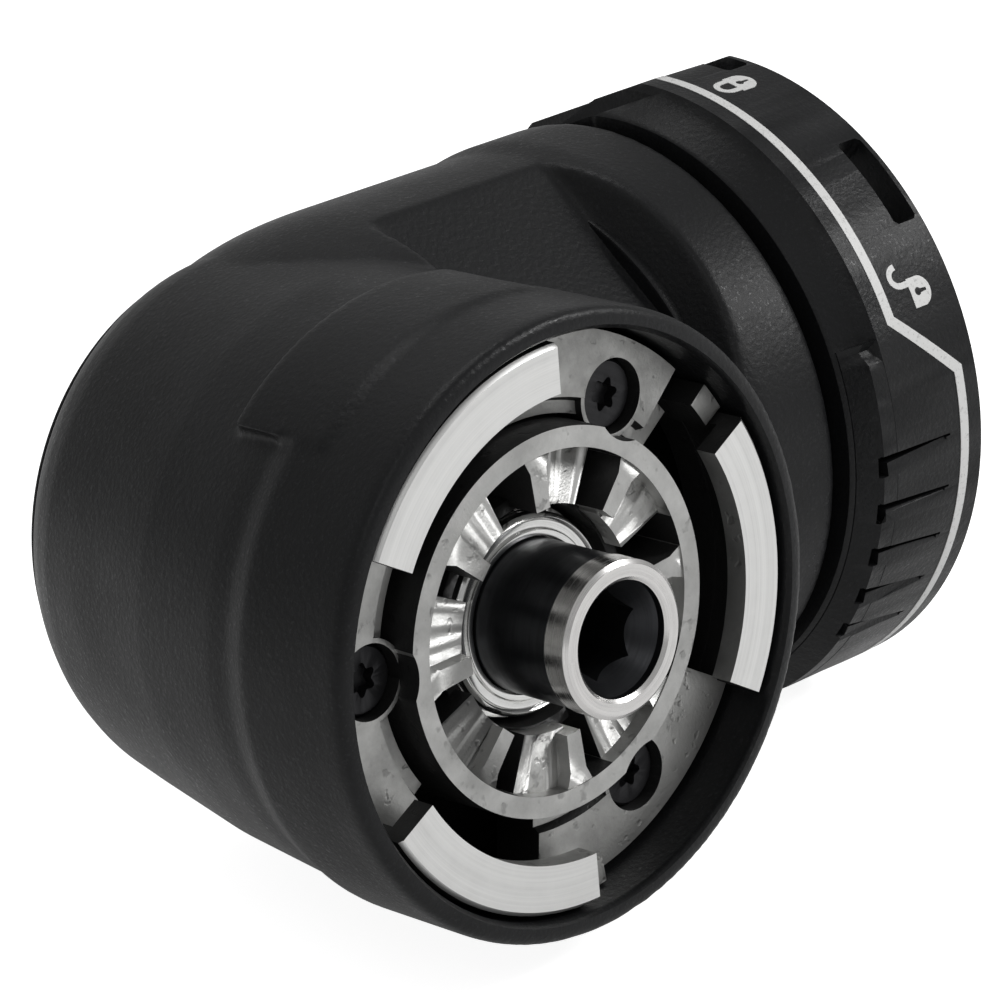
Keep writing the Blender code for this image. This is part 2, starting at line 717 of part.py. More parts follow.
def make_flange():
    """The cast flange: a ring floor, three screw bosses and three bayonet pads."""
    floor_outer_r = PAD_OUTER_R - 0.6
    floor = lathe("floor", ring_profile(FLANGE_INNER_R, floor_outer_r, FLANGE_BACK, FLANGE_FLOOR), RING_FACETS)
    parts = []
    base = FLANGE_BACK + 0.4
    for angle in spaced(PAD_FIRST_ANGLE, 3):
        pad = [
            (PAD_OUTER_R, PAD_FRONT),
            (PAD_OUTER_R, base),
            (FLANGE_WALL_R, base),
            (FLANGE_WALL_R, PAD_BACK),
            (PAD_INNER_R, PAD_BACK),
            (PAD_INNER_R, PAD_FRONT),
        ]
        parts.append(swept("pad", pad, angle - PAD_HALF_ANGLE, angle + PAD_HALF_ANGLE, 12))
        lug = ring_profile(LUG_INNER_R, PAD_OUTER_R - 0.15, base + 0.4, LUG_FRONT)
        parts.append(swept("lug", lug, angle + LUG_START_ANGLE - 3.0, angle + LUG_END_ANGLE, 3))
    for angle in spaced(FLANGE_SCREW_FIRST_ANGLE, 3):
        boss = ring_profile(FLANGE_INNER_R + 0.3, PAD_OUTER_R - 0.3, base + 0.2, BOSS_FRONT)
        parts.append(swept("boss", boss, angle - BOSS_HALF_ANGLE, angle + BOSS_HALF_ANGLE, 10))
        post_base = base + 0.6
        post = [(0.0, BOSS_FRONT), (FLANGE_BOSS_R, BOSS_FRONT), (FLANGE_BOSS_R, post_base), (0.0, post_base)]
        parts.append(lathe("post", post, BEARING_FACETS, polar(FLANGE_SCREW_CIRCLE_R, angle)))
    join(floor, *parts)
    for angle in spaced(FLANGE_SCREW_FIRST_ANGLE, 3):
        seat = BOSS_FRONT - FLANGE_SCREW_HEAD_H
        profile = [
            (0.0, RIM_FRONT),
            (FLANGE_SCREW_HEAD_R + RUNNING_GAP, RIM_FRONT),
            (FLANGE_SCREW_HEAD_R + RUNNING_GAP, seat),
            (FLANGE_SCREW_SHANK_R + RUNNING_GAP, seat),
            (FLANGE_SCREW_SHANK_R + RUNNING_GAP, 0.0),
            (0.0, 0.0),
        ]
        cut(floor, lathe("seat", profile, SCREW_FACETS, polar(FLANGE_SCREW_CIRCLE_R, angle)))
    return floor


def make_carrier():
    """The ribbed carrier that holds the output bearing."""
    seat_r = OUT_BEARING_OUTER_R + RUNNING_GAP
    clip_front = OUT_BEARING_FRONT - OUT_BEARING_WIDTH - FACE_GAP + 0.1
    clip_back = clip_front - CIRCLIP_THICKNESS - 0.2
    profile = [
        (HUB_OUTER_R, HUB_FRONT),
        (HUB_OUTER_R, HUB_BASE_FRONT),
        (HUB_BASE_R, HUB_BASE_FRONT),
        (HUB_BASE_R, HUB_BASE_BACK),
        (SPIGOT_R, HUB_BASE_BACK),
        (SPIGOT_R, SPIGOT_BACK),
        (seat_r, SPIGOT_BACK),
        (seat_r, clip_back),
        (seat_r + 0.6, clip_back),
        (seat_r + 0.6, clip_front),
        (seat_r, clip_front),
        (seat_r, HUB_FLOOR_BACK),
        (HUB_HOLE_R, HUB_FLOOR_BACK),
        (HUB_HOLE_R, HUB_COLLAR_FRONT),
        (HUB_COLLAR_R, HUB_COLLAR_FRONT),
        (HUB_COLLAR_R, HUB_FLOOR_FRONT),
        (HUB_INNER_R, HUB_FLOOR_FRONT),
        (HUB_INNER_R, HUB_FRONT),
    ]
    carrier = lathe("bearing_carrier", profile, RING_FACETS)
    ribs = []
    for angle in spaced(RIB_FIRST_ANGLE, RIB_COUNT):
        half = RIB_WIDTH / 2
        outline = [(RIB_INNER_R + 0.4, -half), (HUB_INNER_R + 0.5, -half)]
        outline += [(HUB_INNER_R + 0.5, half), (RIB_INNER_R + 0.4, half)]
        rib = prism("rib", outline, HUB_FLOOR_FRONT - 0.4, RIB_FRONT)
        ribs.append(move(rib, Matrix.Rotation(math.radians(angle), 4, "Z")))
    join(carrier, *ribs)
    clear_r = FLANGE_BOSS_R + FACE_GAP
    for angle in spaced(FLANGE_SCREW_FIRST_ANGLE, 3):
        centre = polar(FLANGE_SCREW_CIRCLE_R, angle)
        notch = [(0.0, RIM_FRONT), (clear_r, RIM_FRONT), (clear_r, HUB_BASE_FRONT), (0.0, HUB_BASE_FRONT)]
        hole_r = FLANGE_SCREW_SHANK_R + 2 * RUNNING_GAP
        hole = [(0.0, RIM_FRONT), (hole_r, RIM_FRONT), (hole_r, 0.0), (0.0, 0.0)]
        cut(carrier, lathe("notch", notch, BEARING_FACETS, centre), lathe("hole", hole, SCREW_FACETS, centre))
    return carrier


def make_spindle():
    """The hollow output spindle with its hex socket and its round tail."""
    tip_back = TIP_FRONT - TIP_LENGTH
    groove_front = GEAR_HUB_FRONT - FACE_GAP + 0.1
    groove_back = groove_front - GEAR_CLIP_THICKNESS - 0.2
    profile = [
        (0.0, TIP_FRONT),
        (TIP_R - 0.5, TIP_FRONT),
        (TIP_R, TIP_FRONT - 0.5),
        (TIP_R, tip_back),
        (TUBE_R, tip_back),
        (TUBE_R, SPINDLE_COLLAR_FRONT + FACE_GAP),
        (SHAFT_R, SPINDLE_COLLAR_FRONT + FACE_GAP),
        (SHAFT_R, groove_front),
        (SHAFT_R - 0.6, groove_front),
        (SHAFT_R - 0.6, groove_back),
        (SHAFT_R, groove_back),
        (SHAFT_R, groove_back - 0.6),
        (TAIL_R, groove_back - 0.6),
        (TAIL_R, TAIL_END + 0.5),
        (TAIL_R - 0.5, TAIL_END),
        (0.0, TAIL_END),
    ]
    spindle = lathe("output_spindle", profile, BORE_FACETS)
    hex_corner = HEX_FLATS / 2 / math.cos(math.pi / 6)
    socket = prism("socket", polygon(hex_corner, 6, 30.0), TIP_FRONT - HEX_DEPTH, TIP_FRONT + 1.0)
    well_end = TIP_FRONT - HEX_DEPTH - MAGNET_LENGTH - 2 * FACE_GAP
    well_r = MAGNET_R + RUNNING_GAP
    well_start = TIP_FRONT - HEX_DEPTH + 1.0
    well = [(0.0, well_start), (well_r, well_start), (well_r, well_end), (0.0, well_end)]
    mouth = [
        (0.0, TIP_FRONT + MOUTH_DEPTH),
        (MOUTH_R + MOUTH_SLOPE * MOUTH_DEPTH, TIP_FRONT + MOUTH_DEPTH),
        (MOUTH_R - MOUTH_SLOPE * MOUTH_DEPTH, TIP_FRONT - MOUTH_DEPTH),
        (0.0, TIP_FRONT - MOUTH_DEPTH),
    ]
    return cut(spindle, socket, lathe("well", well, BEARING_FACETS), lathe("mouth", mouth, BEARING_FACETS))


def c_ring(inner_r, outer_r, start, end, gap_angle=0.0):
    """A retaining ring with a gap in it, opening at a given angle."""
    half = CIRCLIP_GAP_ANGLE / 2
    outline = sector(inner_r, outer_r, gap_angle + half, gap_angle + 360.0 - half, BEARING_FACETS)
    return prism("clip", outline, start, end)


def race_ring(inner_r, outer_r, start, width, groove_outside, groove_r):
    """A bearing race with the ball groove on one side."""
    end = start + width
    middle = start + width / 2
    half = groove_r * 0.9
    depth = groove_r * 0.4
    if groove_outside:
        profile = [
            (outer_r, end),
            (outer_r, middle + half),
            (outer_r - depth, middle + half * 0.5),
            (outer_r - depth, middle - half * 0.5),
            (outer_r, middle - half),
            (outer_r, start),
            (inner_r, start),
            (inner_r, end),
        ]
    else:
        profile = [
            (outer_r, end),
            (outer_r, start),
            (inner_r, start),
            (inner_r, middle - half),
            (inner_r + depth, middle - half * 0.5),
            (inner_r + depth, middle + half * 0.5),
            (inner_r, middle + half),
            (inner_r, end),
        ]
    return lathe("race", profile, BEARING_FACETS)


def ball_cage(inner_gap_r, outer_gap_r, middle, ball_r, count):
    """Balls held in a thin ring, as one piece."""
    pitch_r = (inner_gap_r + outer_gap_r) / 2
    half_wall = (outer_gap_r - inner_gap_r) / 2 - 0.45
    half_width = ball_r * 0.8
    ring = ring_profile(pitch_r - half_wall, pitch_r + half_wall, middle - half_width, middle + half_width)
    cage = lathe("cage", ring, BEARING_FACETS)
    for angle in spaced(0.0, count):
        x, y = polar(pitch_r, angle)
        mesh_data = bmesh.new()
        bmesh.ops.create_uvsphere(mesh_data, u_segments=BALL_FACETS, v_segments=BALL_ROWS, radius=ball_r)
        ball = finish_mesh("ball", mesh_data)
        join(cage, move(ball, Matrix.Translation((x, y, middle))))
    return cage


def involute_half_angle(radius, pitch_r, base_r, pitch_half_angle):
    """Half the angle of a tooth at a radius of the virtual spur gear."""
    pitch_alpha = math.acos(base_r / pitch_r)
    alpha = math.acos(min(1.0, base_r / max(radius, base_r)))
    roll = (math.tan(pitch_alpha) - pitch_alpha) - (math.tan(alpha) - alpha)
    return pitch_half_angle + roll


def bevel_tooth_points(teeth, cone_angle, tooth_at):
    """(angle, distance from the pitch cone) round one gear, tooth by tooth, with one tooth centred at tooth_at."""
    pitch_r = GEAR_MODULE * teeth / 2
    virtual_r = pitch_r / math.cos(cone_angle)
    base_r = virtual_r * math.cos(math.radians(PRESSURE_ANGLE))
    half_thickness = GEAR_MODULE * math.pi / 4 - BACKLASH / 2
    points = []
    heights = (-DEDENDUM * GEAR_MODULE, 0.0, ADDENDUM * GEAR_MODULE)
    for tooth in range(teeth):
        middle = tooth_at + 2 * math.pi * tooth / teeth
        flank = []
        for height in heights:
            radius = virtual_r + height
            spread = involute_half_angle(radius, virtual_r, base_r, half_thickness / virtual_r)
            across = spread * radius / (pitch_r + height * math.cos(cone_angle))
            flank.append((across, height))
        points += [(middle - across, height) for across, height in flank]
        points += [(middle + across, height) for across, height in reversed(flank)]
    return points


def bevel_gear(name, teeth, mate_teeth, tooth_at, hub_r, hub_back, hub_front, bore_r):
    """A straight bevel gear, outwards along its own axis from the crossing of the axes."""
    cone_angle = math.atan2(teeth, mate_teeth)
    cone_length = GEAR_MODULE * math.hypot(teeth, mate_teeth) / 2
    small = (cone_length - GEAR_FACE_WIDTH) / cone_length
    points = bevel_tooth_points(teeth, cone_angle, math.radians(tooth_at))
    mesh_data = bmesh.new()

    def loop(radius_and_station):
        made = []
        for angle, height in points:
            radius, station = radius_and_station(height)
            made.append(mesh_data.verts.new((radius * math.cos(angle), radius * math.sin(angle), station)))
        return made

    def tooth_place(height, scale):
        radius = cone_length * math.sin(cone_angle) + height * math.cos(cone_angle)
        station = cone_length * math.cos(cone_angle) - height * math.sin(cone_angle)
        return radius * scale, station * scale

    root_height = -DEDENDUM * GEAR_MODULE - 0.6
    loops = [
        loop(lambda height: (hub_r, hub_back)),
        loop(lambda height: (hub_r, tooth_place(root_height, 1.0)[1] + 0.4)),
        loop(lambda height: tooth_place(height, 1.0)),
        loop(lambda height: tooth_place(height, small)),
        loop(lambda height: (bore_r + 0.7, hub_front)),
        loop(lambda height: (bore_r, hub_front)),
        loop(lambda height: (bore_r, hub_back)),
    ]
    stitch(mesh_data, loops, closed=True)
    return finish_mesh(name, mesh_data)


def make_input_shaft():
    """The input shaft: round through its bearings, six-sided where the driving tool grips it."""
    profile = [
        (0.0, INPUT_SHAFT_SHOULDER),
        (INPUT_SHAFT_R - 0.3, INPUT_SHAFT_SHOULDER),
        (INPUT_SHAFT_R, INPUT_SHAFT_SHOULDER - 0.3),
        (INPUT_SHAFT_R, INPUT_SHAFT_START + 0.4),
        (INPUT_SHAFT_R - 0.4, INPUT_SHAFT_START),
        (0.0, INPUT_SHAFT_START),
    ]
    shaft = lathe("input_shaft", profile, BEARING_FACETS)
    hex_corner = HEX_FLATS / 2 / math.cos(math.pi / 6)
    chamfer = 0.6
    mesh_data = bmesh.new()
    loops = []
    for radius, station in (
        (hex_corner, INPUT_SHAFT_SHOULDER - 1.0),
        (hex_corner, HEX_END - chamfer),
        (hex_corner - chamfer, HEX_END),
    ):
        loops.append([mesh_data.verts.new((x, y, station)) for x, y in polygon(radius, 6)])
    stitch(mesh_data, loops, closed=False)
    mesh_data.faces.new(loops[0])
    mesh_data.faces.new(loops[-1])
    return join(shaft, finish_mesh("hex", mesh_data))


def make_input_flange():
    """The fixed flange on the neck's end: disc, spigot, nose recess and index dogs."""
    spigot_r = IN_BEARING_OUTER_R - RUNNING_GAP
    disc_back = SLEEVE_END + FACE_GAP
    profile = [
        (FLANGE_DISC_R - 0.3, FLANGE_DISC_FRONT),
        (FLANGE_DISC_R, FLANGE_DISC_FRONT - 0.3),
        (FLANGE_DISC_R, disc_back),
        (spigot_r, disc_back),
        (spigot_r, FLANGE_SPIGOT_START),
        (SEAL_R + RUNNING_GAP, FLANGE_SPIGOT_START),
        (SEAL_R + RUNNING_GAP, SEAL_SEAT_END),
        (INPUT_SHAFT_R + 0.5, SEAL_SEAT_END),
        (INPUT_SHAFT_R + 0.5, NOSE_RECESS_FLOOR),
        (NOSE_RECESS_R, NOSE_RECESS_FLOOR),
        (NOSE_RECESS_R, FLANGE_DISC_FRONT),
    ]
    flange = lathe("input_flange", profile, BORE_FACETS)
    for angle in spaced(DOG_FIRST_ANGLE, DOG_COUNT):
        dog = sector(DOG_INNER_R, DOG_OUTER_R, angle - DOG_HALF_ANGLE, angle + DOG_HALF_ANGLE, 2)
        join(flange, prism("dog", dog, FLANGE_DISC_FRONT - 0.5, FLANGE_DISC_FRONT + DOG_HEIGHT))
    for angle in spaced(0.0, INPUT_SCREW_COUNT):
        seat = FLANGE_DISC_FRONT - INPUT_SCREW_HEAD_H
        profile = [
            (0.0, 2 * FLANGE_DISC_FRONT),
            (INPUT_SCREW_HEAD_R + RUNNING_GAP, 2 * FLANGE_DISC_FRONT),
            (INPUT_SCREW_HEAD_R + RUNNING_GAP, seat),
            (INPUT_SCREW_SHANK_R + RUNNING_GAP, seat),
            (INPUT_SCREW_SHANK_R + RUNNING_GAP, 0.0),
            (0.0, 0.0),
        ]
        cut(flange, lathe("seat", profile, SCREW_FACETS, polar(INPUT_SCREW_CIRCLE_R, angle)))
    return flange


def make_lock_ring():
    """The hand ring: bevelled shell, two grip zones with slanted grooves and four slots through its skirt."""
    bore_r = SLEEVE_R + RUNNING_GAP + 0.05
    profile = [
        (RING_R - RING_EDGE_BEVEL, RING_FAR),
        (RING_R, RING_FAR - RING_EDGE_BEVEL),
        (RING_R, RING_BEVEL_END),
        (RING_NEAR_R, RING_NEAR),
        (bore_r, RING_NEAR),
        (bore_r, RING_BORE_END),
        (RING_STEP_R, RING_BORE_END),
        (RING_STEP_R, SKIRT_START),
        (SKIRT_INNER_R, SKIRT_START),
        (SKIRT_INNER_R, RING_FAR),
    ]
    ring = lathe("lock_ring", profile, RING_FACETS)
    for angle in SLOT_ANGLES:
        outline = sector(SKIRT_INNER_R - 1.0, RING_R + 1.0, angle - SLOT_HALF_ANGLE, angle + SLOT_HALF_ANGLE, 4)
        cut(ring, prism("slot", outline, SLOT_START, SLOT_END))
    length = GRIP_GROOVE_END - GRIP_GROOVE_START
    for side in (0.0, 180.0):
        for angle in GRIP_GROOVE_ANGLES:
            half = GRIP_GROOVE_WIDTH / 2
            outline = [(RING_R - GRIP_GROOVE_DEPTH, -half), (RING_R + 1.0, -half)]
            outline += [(RING_R + 1.0, half), (RING_R - GRIP_GROOVE_DEPTH, half)]
            groove = prism("groove", outline, -length / 2, length / 2)
            slant = Matrix.Rotation(math.radians(GRIP_GROOVE_SLANT), 4, "X")
            middle = Matrix.Translation((0.0, 0.0, (GRIP_GROOVE_START + GRIP_GROOVE_END) / 2))
            cut(ring, move(groove, Matrix.Rotation(math.radians(angle + side), 4, "Z") @ middle @ slant))
    return ring


def make_bayonet_ring():
    """The metal ring inside the lock ring, with three hooked claws."""
    plate_end = BAYONET_START + BAYONET_PLATE
    outer_r = RING_STEP_R - RUNNING_GAP - 0.05
    ring = lathe("bayonet_ring", ring_profile(BAYONET_INNER_R, outer_r, BAYONET_START, plate_end), RING_FACETS)
    for angle in spaced(CLAW_FIRST_ANGLE, CLAW_COUNT):
        hook_back = CLAW_END - CLAW_HOOK_THICKNESS
        claw = [
            (CLAW_HOOK_R, CLAW_END),
            (CLAW_HOOK_R, hook_back),
            (CLAW_WEB_R, hook_back),
            (CLAW_WEB_R, plate_end - 0.5),
            (BAYONET_INNER_R + 0.3, plate_end - 0.5),
            (BAYONET_INNER_R + 0.3, CLAW_END),
        ]
        join(ring, swept("claw", claw, angle - CLAW_HALF_ANGLE, angle + CLAW_HALF_ANGLE, 8))
    return ring


def build():
    """Make every piece and hang it on its axis."""
    clear_scene()
    materials = {name: make_material(name) for name in FINISHES}
    centre = make_empty("axes_crossing", Matrix.Translation(CENTRE * MM))
    output = make_empty("output_axis", OUTPUT_FRAME, centre)
    drive = make_empty("input_axis", INPUT_FRAME, centre)

    place(make_housing(), centre, "black_nylon", materials)
    place(make_back_cover(), output, "black_nylon", materials)
    cover_screw = make_screw(COVER_SCREW_HEAD_R, COVER_SCREW_HEAD_H - 0.2, COVER_SCREW_SHANK_R, COVER_SCREW_LENGTH)
    flip = Matrix.Rotation(math.pi, 4, "X")
    for i, angle in enumerate(spaced(COVER_SCREW_FIRST_ANGLE, COVER_SCREW_COUNT)):
        x, y = polar(COVER_SCREW_CIRCLE_R, angle)
        screw = copy_piece(cover_screw, f"cover_screw_{i + 1}")
        place(screw, output, "black_steel", materials)
        screw.matrix_local = Matrix.Translation(Vector((x + BACK_CENTRE_X, y, COVER_BACK)) * MM) @ flip
    bpy.data.objects.remove(cover_screw, do_unlink=True)

    place(make_flange(), output, "cast_alloy", materials, "output_flange")
    head_h = FLANGE_SCREW_HEAD_H - 0.1
    flange_screw = make_screw(FLANGE_SCREW_HEAD_R, head_h - 0.2, FLANGE_SCREW_SHANK_R, FLANGE_SCREW_LENGTH)
    for i, angle in enumerate(spaced(FLANGE_SCREW_FIRST_ANGLE, 3)):
        x, y = polar(FLANGE_SCREW_CIRCLE_R, angle)
        screw = copy_piece(flange_screw, f"flange_screw_{i + 1}")
        place(screw, output, "black_steel", materials)
        screw.location = Vector((x, y, BOSS_FRONT - 0.1)) * MM
    bpy.data.objects.remove(flange_screw, do_unlink=True)
    place(make_carrier(), output, "cast_alloy", materials)

    place(make_spindle(), output, "black_steel", materials)
    magnet_front = TIP_FRONT - HEX_DEPTH - FACE_GAP
    magnet = lathe(
        "bit_magnet",
        [
            (0.0, magnet_front),
            (MAGNET_R, magnet_front),
            (MAGNET_R, magnet_front - MAGNET_LENGTH),
            (0.0, magnet_front - MAGNET_LENGTH),
        ],
        SCREW_FACETS,
    )
    place(magnet, output, "magnet", materials)
    collar_profile = ring_profile(
        OUT_BEARING_BORE_R, SPINDLE_COLLAR_R, OUT_BEARING_FRONT + FACE_GAP, SPINDLE_COLLAR_FRONT
    )
    place(lathe("spindle_collar", collar_profile, BORE_FACETS), output, "bright_steel", materials)
    bearing_back = OUT_BEARING_FRONT - OUT_BEARING_WIDTH
    inner_race = race_ring(
        OUT_BEARING_BORE_R, OUT_BEARING_BORE_R + RACE_WALL, bearing_back, OUT_BEARING_WIDTH, True, BALL_R
    )
    place(inner_race, output, "bright_steel", materials, "output_bearing_inner_race")
    outer_race = race_ring(
        OUT_BEARING_OUTER_R - RACE_WALL, OUT_BEARING_OUTER_R, bearing_back, OUT_BEARING_WIDTH, False, BALL_R
    )
    place(outer_race, output, "bright_steel", materials, "output_bearing_outer_race")
    cage = ball_cage(
        OUT_BEARING_BORE_R + RACE_WALL,
        OUT_BEARING_OUTER_R - RACE_WALL,
        bearing_back + OUT_BEARING_WIDTH / 2,
        BALL_R,
        OUT_BALL_COUNT,
    )
    place(cage, output, "bright_steel", materials, "output_bearing_ball_cage")
    clip_front = bearing_back - FACE_GAP
    clip = c_ring(
        OUT_BEARING_OUTER_R + 0.6 - CIRCLIP_WIDTH, OUT_BEARING_OUTER_R + 0.6, clip_front - CIRCLIP_THICKNESS, clip_front
    )
    place(clip, output, "spring_steel", materials, "output_bearing_circlip")
    spacer = ring_profile(OUT_BEARING_BORE_R, GEAR_SPACER_R, GEAR_HUB_BACK + FACE_GAP, bearing_back - FACE_GAP)
    place(lathe("gear_spacer", spacer, BEARING_FACETS), output, "gear_steel", materials)
    crown = bevel_gear(
        "crown_gear",
        CROWN_TEETH,
        PINION_TEETH,
        180.0 / CROWN_TEETH,
        CROWN_HUB_R,
        GEAR_HUB_BACK,
        GEAR_HUB_FRONT,
        SHAFT_R + RUNNING_GAP,
    )
    place(crown, output, "gear_steel", materials)
    gear_clip_front = GEAR_HUB_FRONT - FACE_GAP
    gear_clip = c_ring(
        SHAFT_R - 0.35, GEAR_CLIP_R, gear_clip_front - GEAR_CLIP_THICKNESS, gear_clip_front, 180.0
    )
    place(gear_clip, output, "spring_steel", materials, "crown_gear_circlip")
    rear_bush = ring_profile(
        TAIL_R + RUNNING_GAP, REAR_BUSH_R, COVER_BACK + 0.8 + FACE_GAP, COVER_BOSS_FRONT - 0.2
    )
    place(lathe("rear_bush", rear_bush, BEARING_FACETS), output, "bronze", materials)

    pinion = bevel_gear(
        "bevel_pinion",
        PINION_TEETH,
        CROWN_TEETH,
        90.0,
        PINION_HUB_R,
        PINION_HUB_BACK,
        INPUT_SHAFT_START + 0.3,
        INPUT_SHAFT_R + RUNNING_GAP,
    )
    place(pinion, drive, "gear_steel", materials)
    washer = ring_profile(
        INPUT_SHAFT_R + RUNNING_GAP, THRUST_WASHER_R, PINION_HUB_BACK + FACE_GAP, INPUT_BUSH_START - 0.2
    )
    place(lathe("pinion_thrust_washer", washer, BEARING_FACETS), drive, "spring_steel", materials)
    bush = ring_profile(INPUT_SHAFT_R + RUNNING_GAP, INPUT_BUSH_R, INPUT_BUSH_START, INPUT_BUSH_END)
    place(lathe("input_bush", bush, BEARING_FACETS), drive, "bronze", materials)
    place(make_input_shaft(), drive, "gear_steel", materials)
    in_bore = INPUT_SHAFT_R + RUNNING_GAP
    in_outer = IN_BEARING_OUTER_R - RUNNING_GAP
    inner_race = race_ring(in_bore, in_bore + RACE_WALL, IN_BEARING_START, IN_BEARING_WIDTH, True, IN_BALL_R)
    place(inner_race, drive, "bright_steel", materials, "input_bearing_inner_race")
    outer_race = race_ring(in_outer - RACE_WALL, in_outer, IN_BEARING_START, IN_BEARING_WIDTH, False, IN_BALL_R)
    place(outer_race, drive, "bright_steel", materials, "input_bearing_outer_race")
    cage = ball_cage(
        in_bore + RACE_WALL,
        in_outer - RACE_WALL,
        IN_BEARING_START + IN_BEARING_WIDTH / 2,
        IN_BALL_R,
        IN_BALL_COUNT,
    )
    place(cage, drive, "bright_steel", materials, "input_bearing_ball_cage")
    bearing_end = IN_BEARING_START + IN_BEARING_WIDTH
    shim = ring_profile(
        in_outer - SHIM_WIDTH, in_outer, bearing_end + FACE_GAP, bearing_end + FACE_GAP + SHIM_THICKNESS
    )
    place(lathe("bearing_shim", shim, BEARING_FACETS), drive, "spring_steel", materials)
    seal_start = SEAL_SEAT_END - FACE_GAP - SEAL_LENGTH
    seal = ring_profile(INPUT_SHAFT_R + RUNNING_GAP, SEAL_R, seal_start, seal_start + SEAL_LENGTH)
    place(lathe("input_seal", seal, BEARING_FACETS), drive, "rubber", materials)
    place(make_input_flange(), drive, "cast_alloy", materials)
    head_h = INPUT_SCREW_HEAD_H - 0.1
    input_screw = make_screw(INPUT_SCREW_HEAD_R, head_h - 0.2, INPUT_SCREW_SHANK_R, INPUT_SCREW_LENGTH)
    for i, angle in enumerate(spaced(0.0, INPUT_SCREW_COUNT)):
        x, y = polar(INPUT_SCREW_CIRCLE_R, angle)
        screw = copy_piece(input_screw, f"input_flange_screw_{i + 1}")
        place(screw, drive, "black_steel", materials)
        screw.location = Vector((x, y, FLANGE_DISC_FRONT - 0.1)) * MM
    bpy.data.objects.remove(input_screw, do_unlink=True)

    place(make_lock_ring(), drive, "ring_nylon", materials)
    place(make_bayonet_ring(), drive, "bright_steel", materials)
    wave_middle = (RING_BORE_END + SNAP_RING_START) / 2
    wave = lathe(
        "wave_spring",
        ring_profile(
            SLEEVE_R + RUNNING_GAP,
            RING_STEP_R - RUNNING_GAP,
            wave_middle - WAVE_THICKNESS / 2,
            wave_middle + WAVE_THICKNESS / 2,
        ),
        BORE_FACETS,
        wave=lambda angle: WAVE_HEIGHT * math.sin(WAVE_COUNT * angle),
    )
    place(wave, drive, "spring_steel", materials)
    snap = c_ring(
        SNAP_GROOVE_R + RUNNING_GAP, RING_STEP_R - RUNNING_GAP, SNAP_RING_START, SNAP_RING_START + SNAP_RING_THICKNESS
    )
    place(snap, drive, "spring_steel", materials, "lock_ring_retaining_ring")


if __name__ == "__main__":
    build()
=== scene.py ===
"""Looks of a right-angle gear head for a drill driver.

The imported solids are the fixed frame. Every visible piece is modelled again here as a smooth, finished piece
that stands for its solid, and the pieces inside the closed housing keep their solids under new finishes.
Sizes are in millimetres. Each piece is drawn on its own axis, which points out of the body, and is then
laid on that axis in the frame.
"""

from __future__ import annotations

import logging
import math
from dataclasses import dataclass
from enum import Enum
from typing import Callable, Sequence

import bmesh
import bpy
from mathutils import Matrix, Vector

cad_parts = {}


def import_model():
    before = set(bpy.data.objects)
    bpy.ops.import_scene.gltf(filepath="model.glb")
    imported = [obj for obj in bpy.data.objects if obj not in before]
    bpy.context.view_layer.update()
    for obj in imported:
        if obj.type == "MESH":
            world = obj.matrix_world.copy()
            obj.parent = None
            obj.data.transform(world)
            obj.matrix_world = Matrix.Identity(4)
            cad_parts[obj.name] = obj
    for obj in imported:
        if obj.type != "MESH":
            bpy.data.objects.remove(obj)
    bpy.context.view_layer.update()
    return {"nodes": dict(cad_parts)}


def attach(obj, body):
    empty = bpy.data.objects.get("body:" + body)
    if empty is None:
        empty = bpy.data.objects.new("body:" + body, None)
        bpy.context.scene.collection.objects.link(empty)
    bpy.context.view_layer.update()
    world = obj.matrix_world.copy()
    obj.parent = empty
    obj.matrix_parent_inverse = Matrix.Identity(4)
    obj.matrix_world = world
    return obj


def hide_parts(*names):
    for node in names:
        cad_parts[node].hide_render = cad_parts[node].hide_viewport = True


LOG = logging.getLogger("angle_adapter")

MM = 0.001
FULL_TURN = 2.0 * math.pi

# Where the two axes cross, in the frame
CROSSING = Vector((-15.5, 6.25, 28.0)) * MM

# The hexagon of a bit and of the driving shaft, a quarter inch across its flats
HEX_FLATS = 6.35
HEX_CORNER = HEX_FLATS / math.sqrt(3)

# The station of a cutter's end that is past every piece
PAST_ALL = 60.0

Piece = bpy.types.Object
Point2 = tuple[float, float]
Point3 = tuple[float, float, float]


class Axis(Enum):
    """The two axes that pieces are laid on: columns of a turn from a piece's own axes to the frame's."""

    OUTPUT = ((1, 0, 0), (0, 0, -1), (0, 1, 0))
    INPUT = ((0, 0, 1), (0, -1, 0), (1, 0, 0))

    def matrix(self) -> Matrix:
        """The turn and shift that lays a piece on this axis."""
        return Matrix.Translation(CROSSING) @ Matrix(self.value).to_4x4()


class Body(Enum):
    """The moving bodies of the frame."""

    HOUSING = "housing"
    OUTPUT_TRAIN = "output_train"
    INPUT_TRAIN = "input_train"
    LOCK_RING = "lock_ring"


class Operation(Enum):
    """How a Boolean combines two pieces."""

    CUT = "DIFFERENCE"
    JOIN = "UNION"
    KEEP = "INTERSECT"


# Modelling


def deselect_all() -> None:
    """Leave edit mode and select nothing."""
    if bpy.context.object and bpy.context.object.mode != "OBJECT":
        bpy.ops.object.mode_set(mode="OBJECT")
    bpy.ops.object.select_all(action="DESELECT")


def activate(piece: Piece) -> None:
    """Make one piece the only selected one, and the active one."""
    deselect_all()
    piece.select_set(True)
    bpy.context.view_layer.objects.active = piece


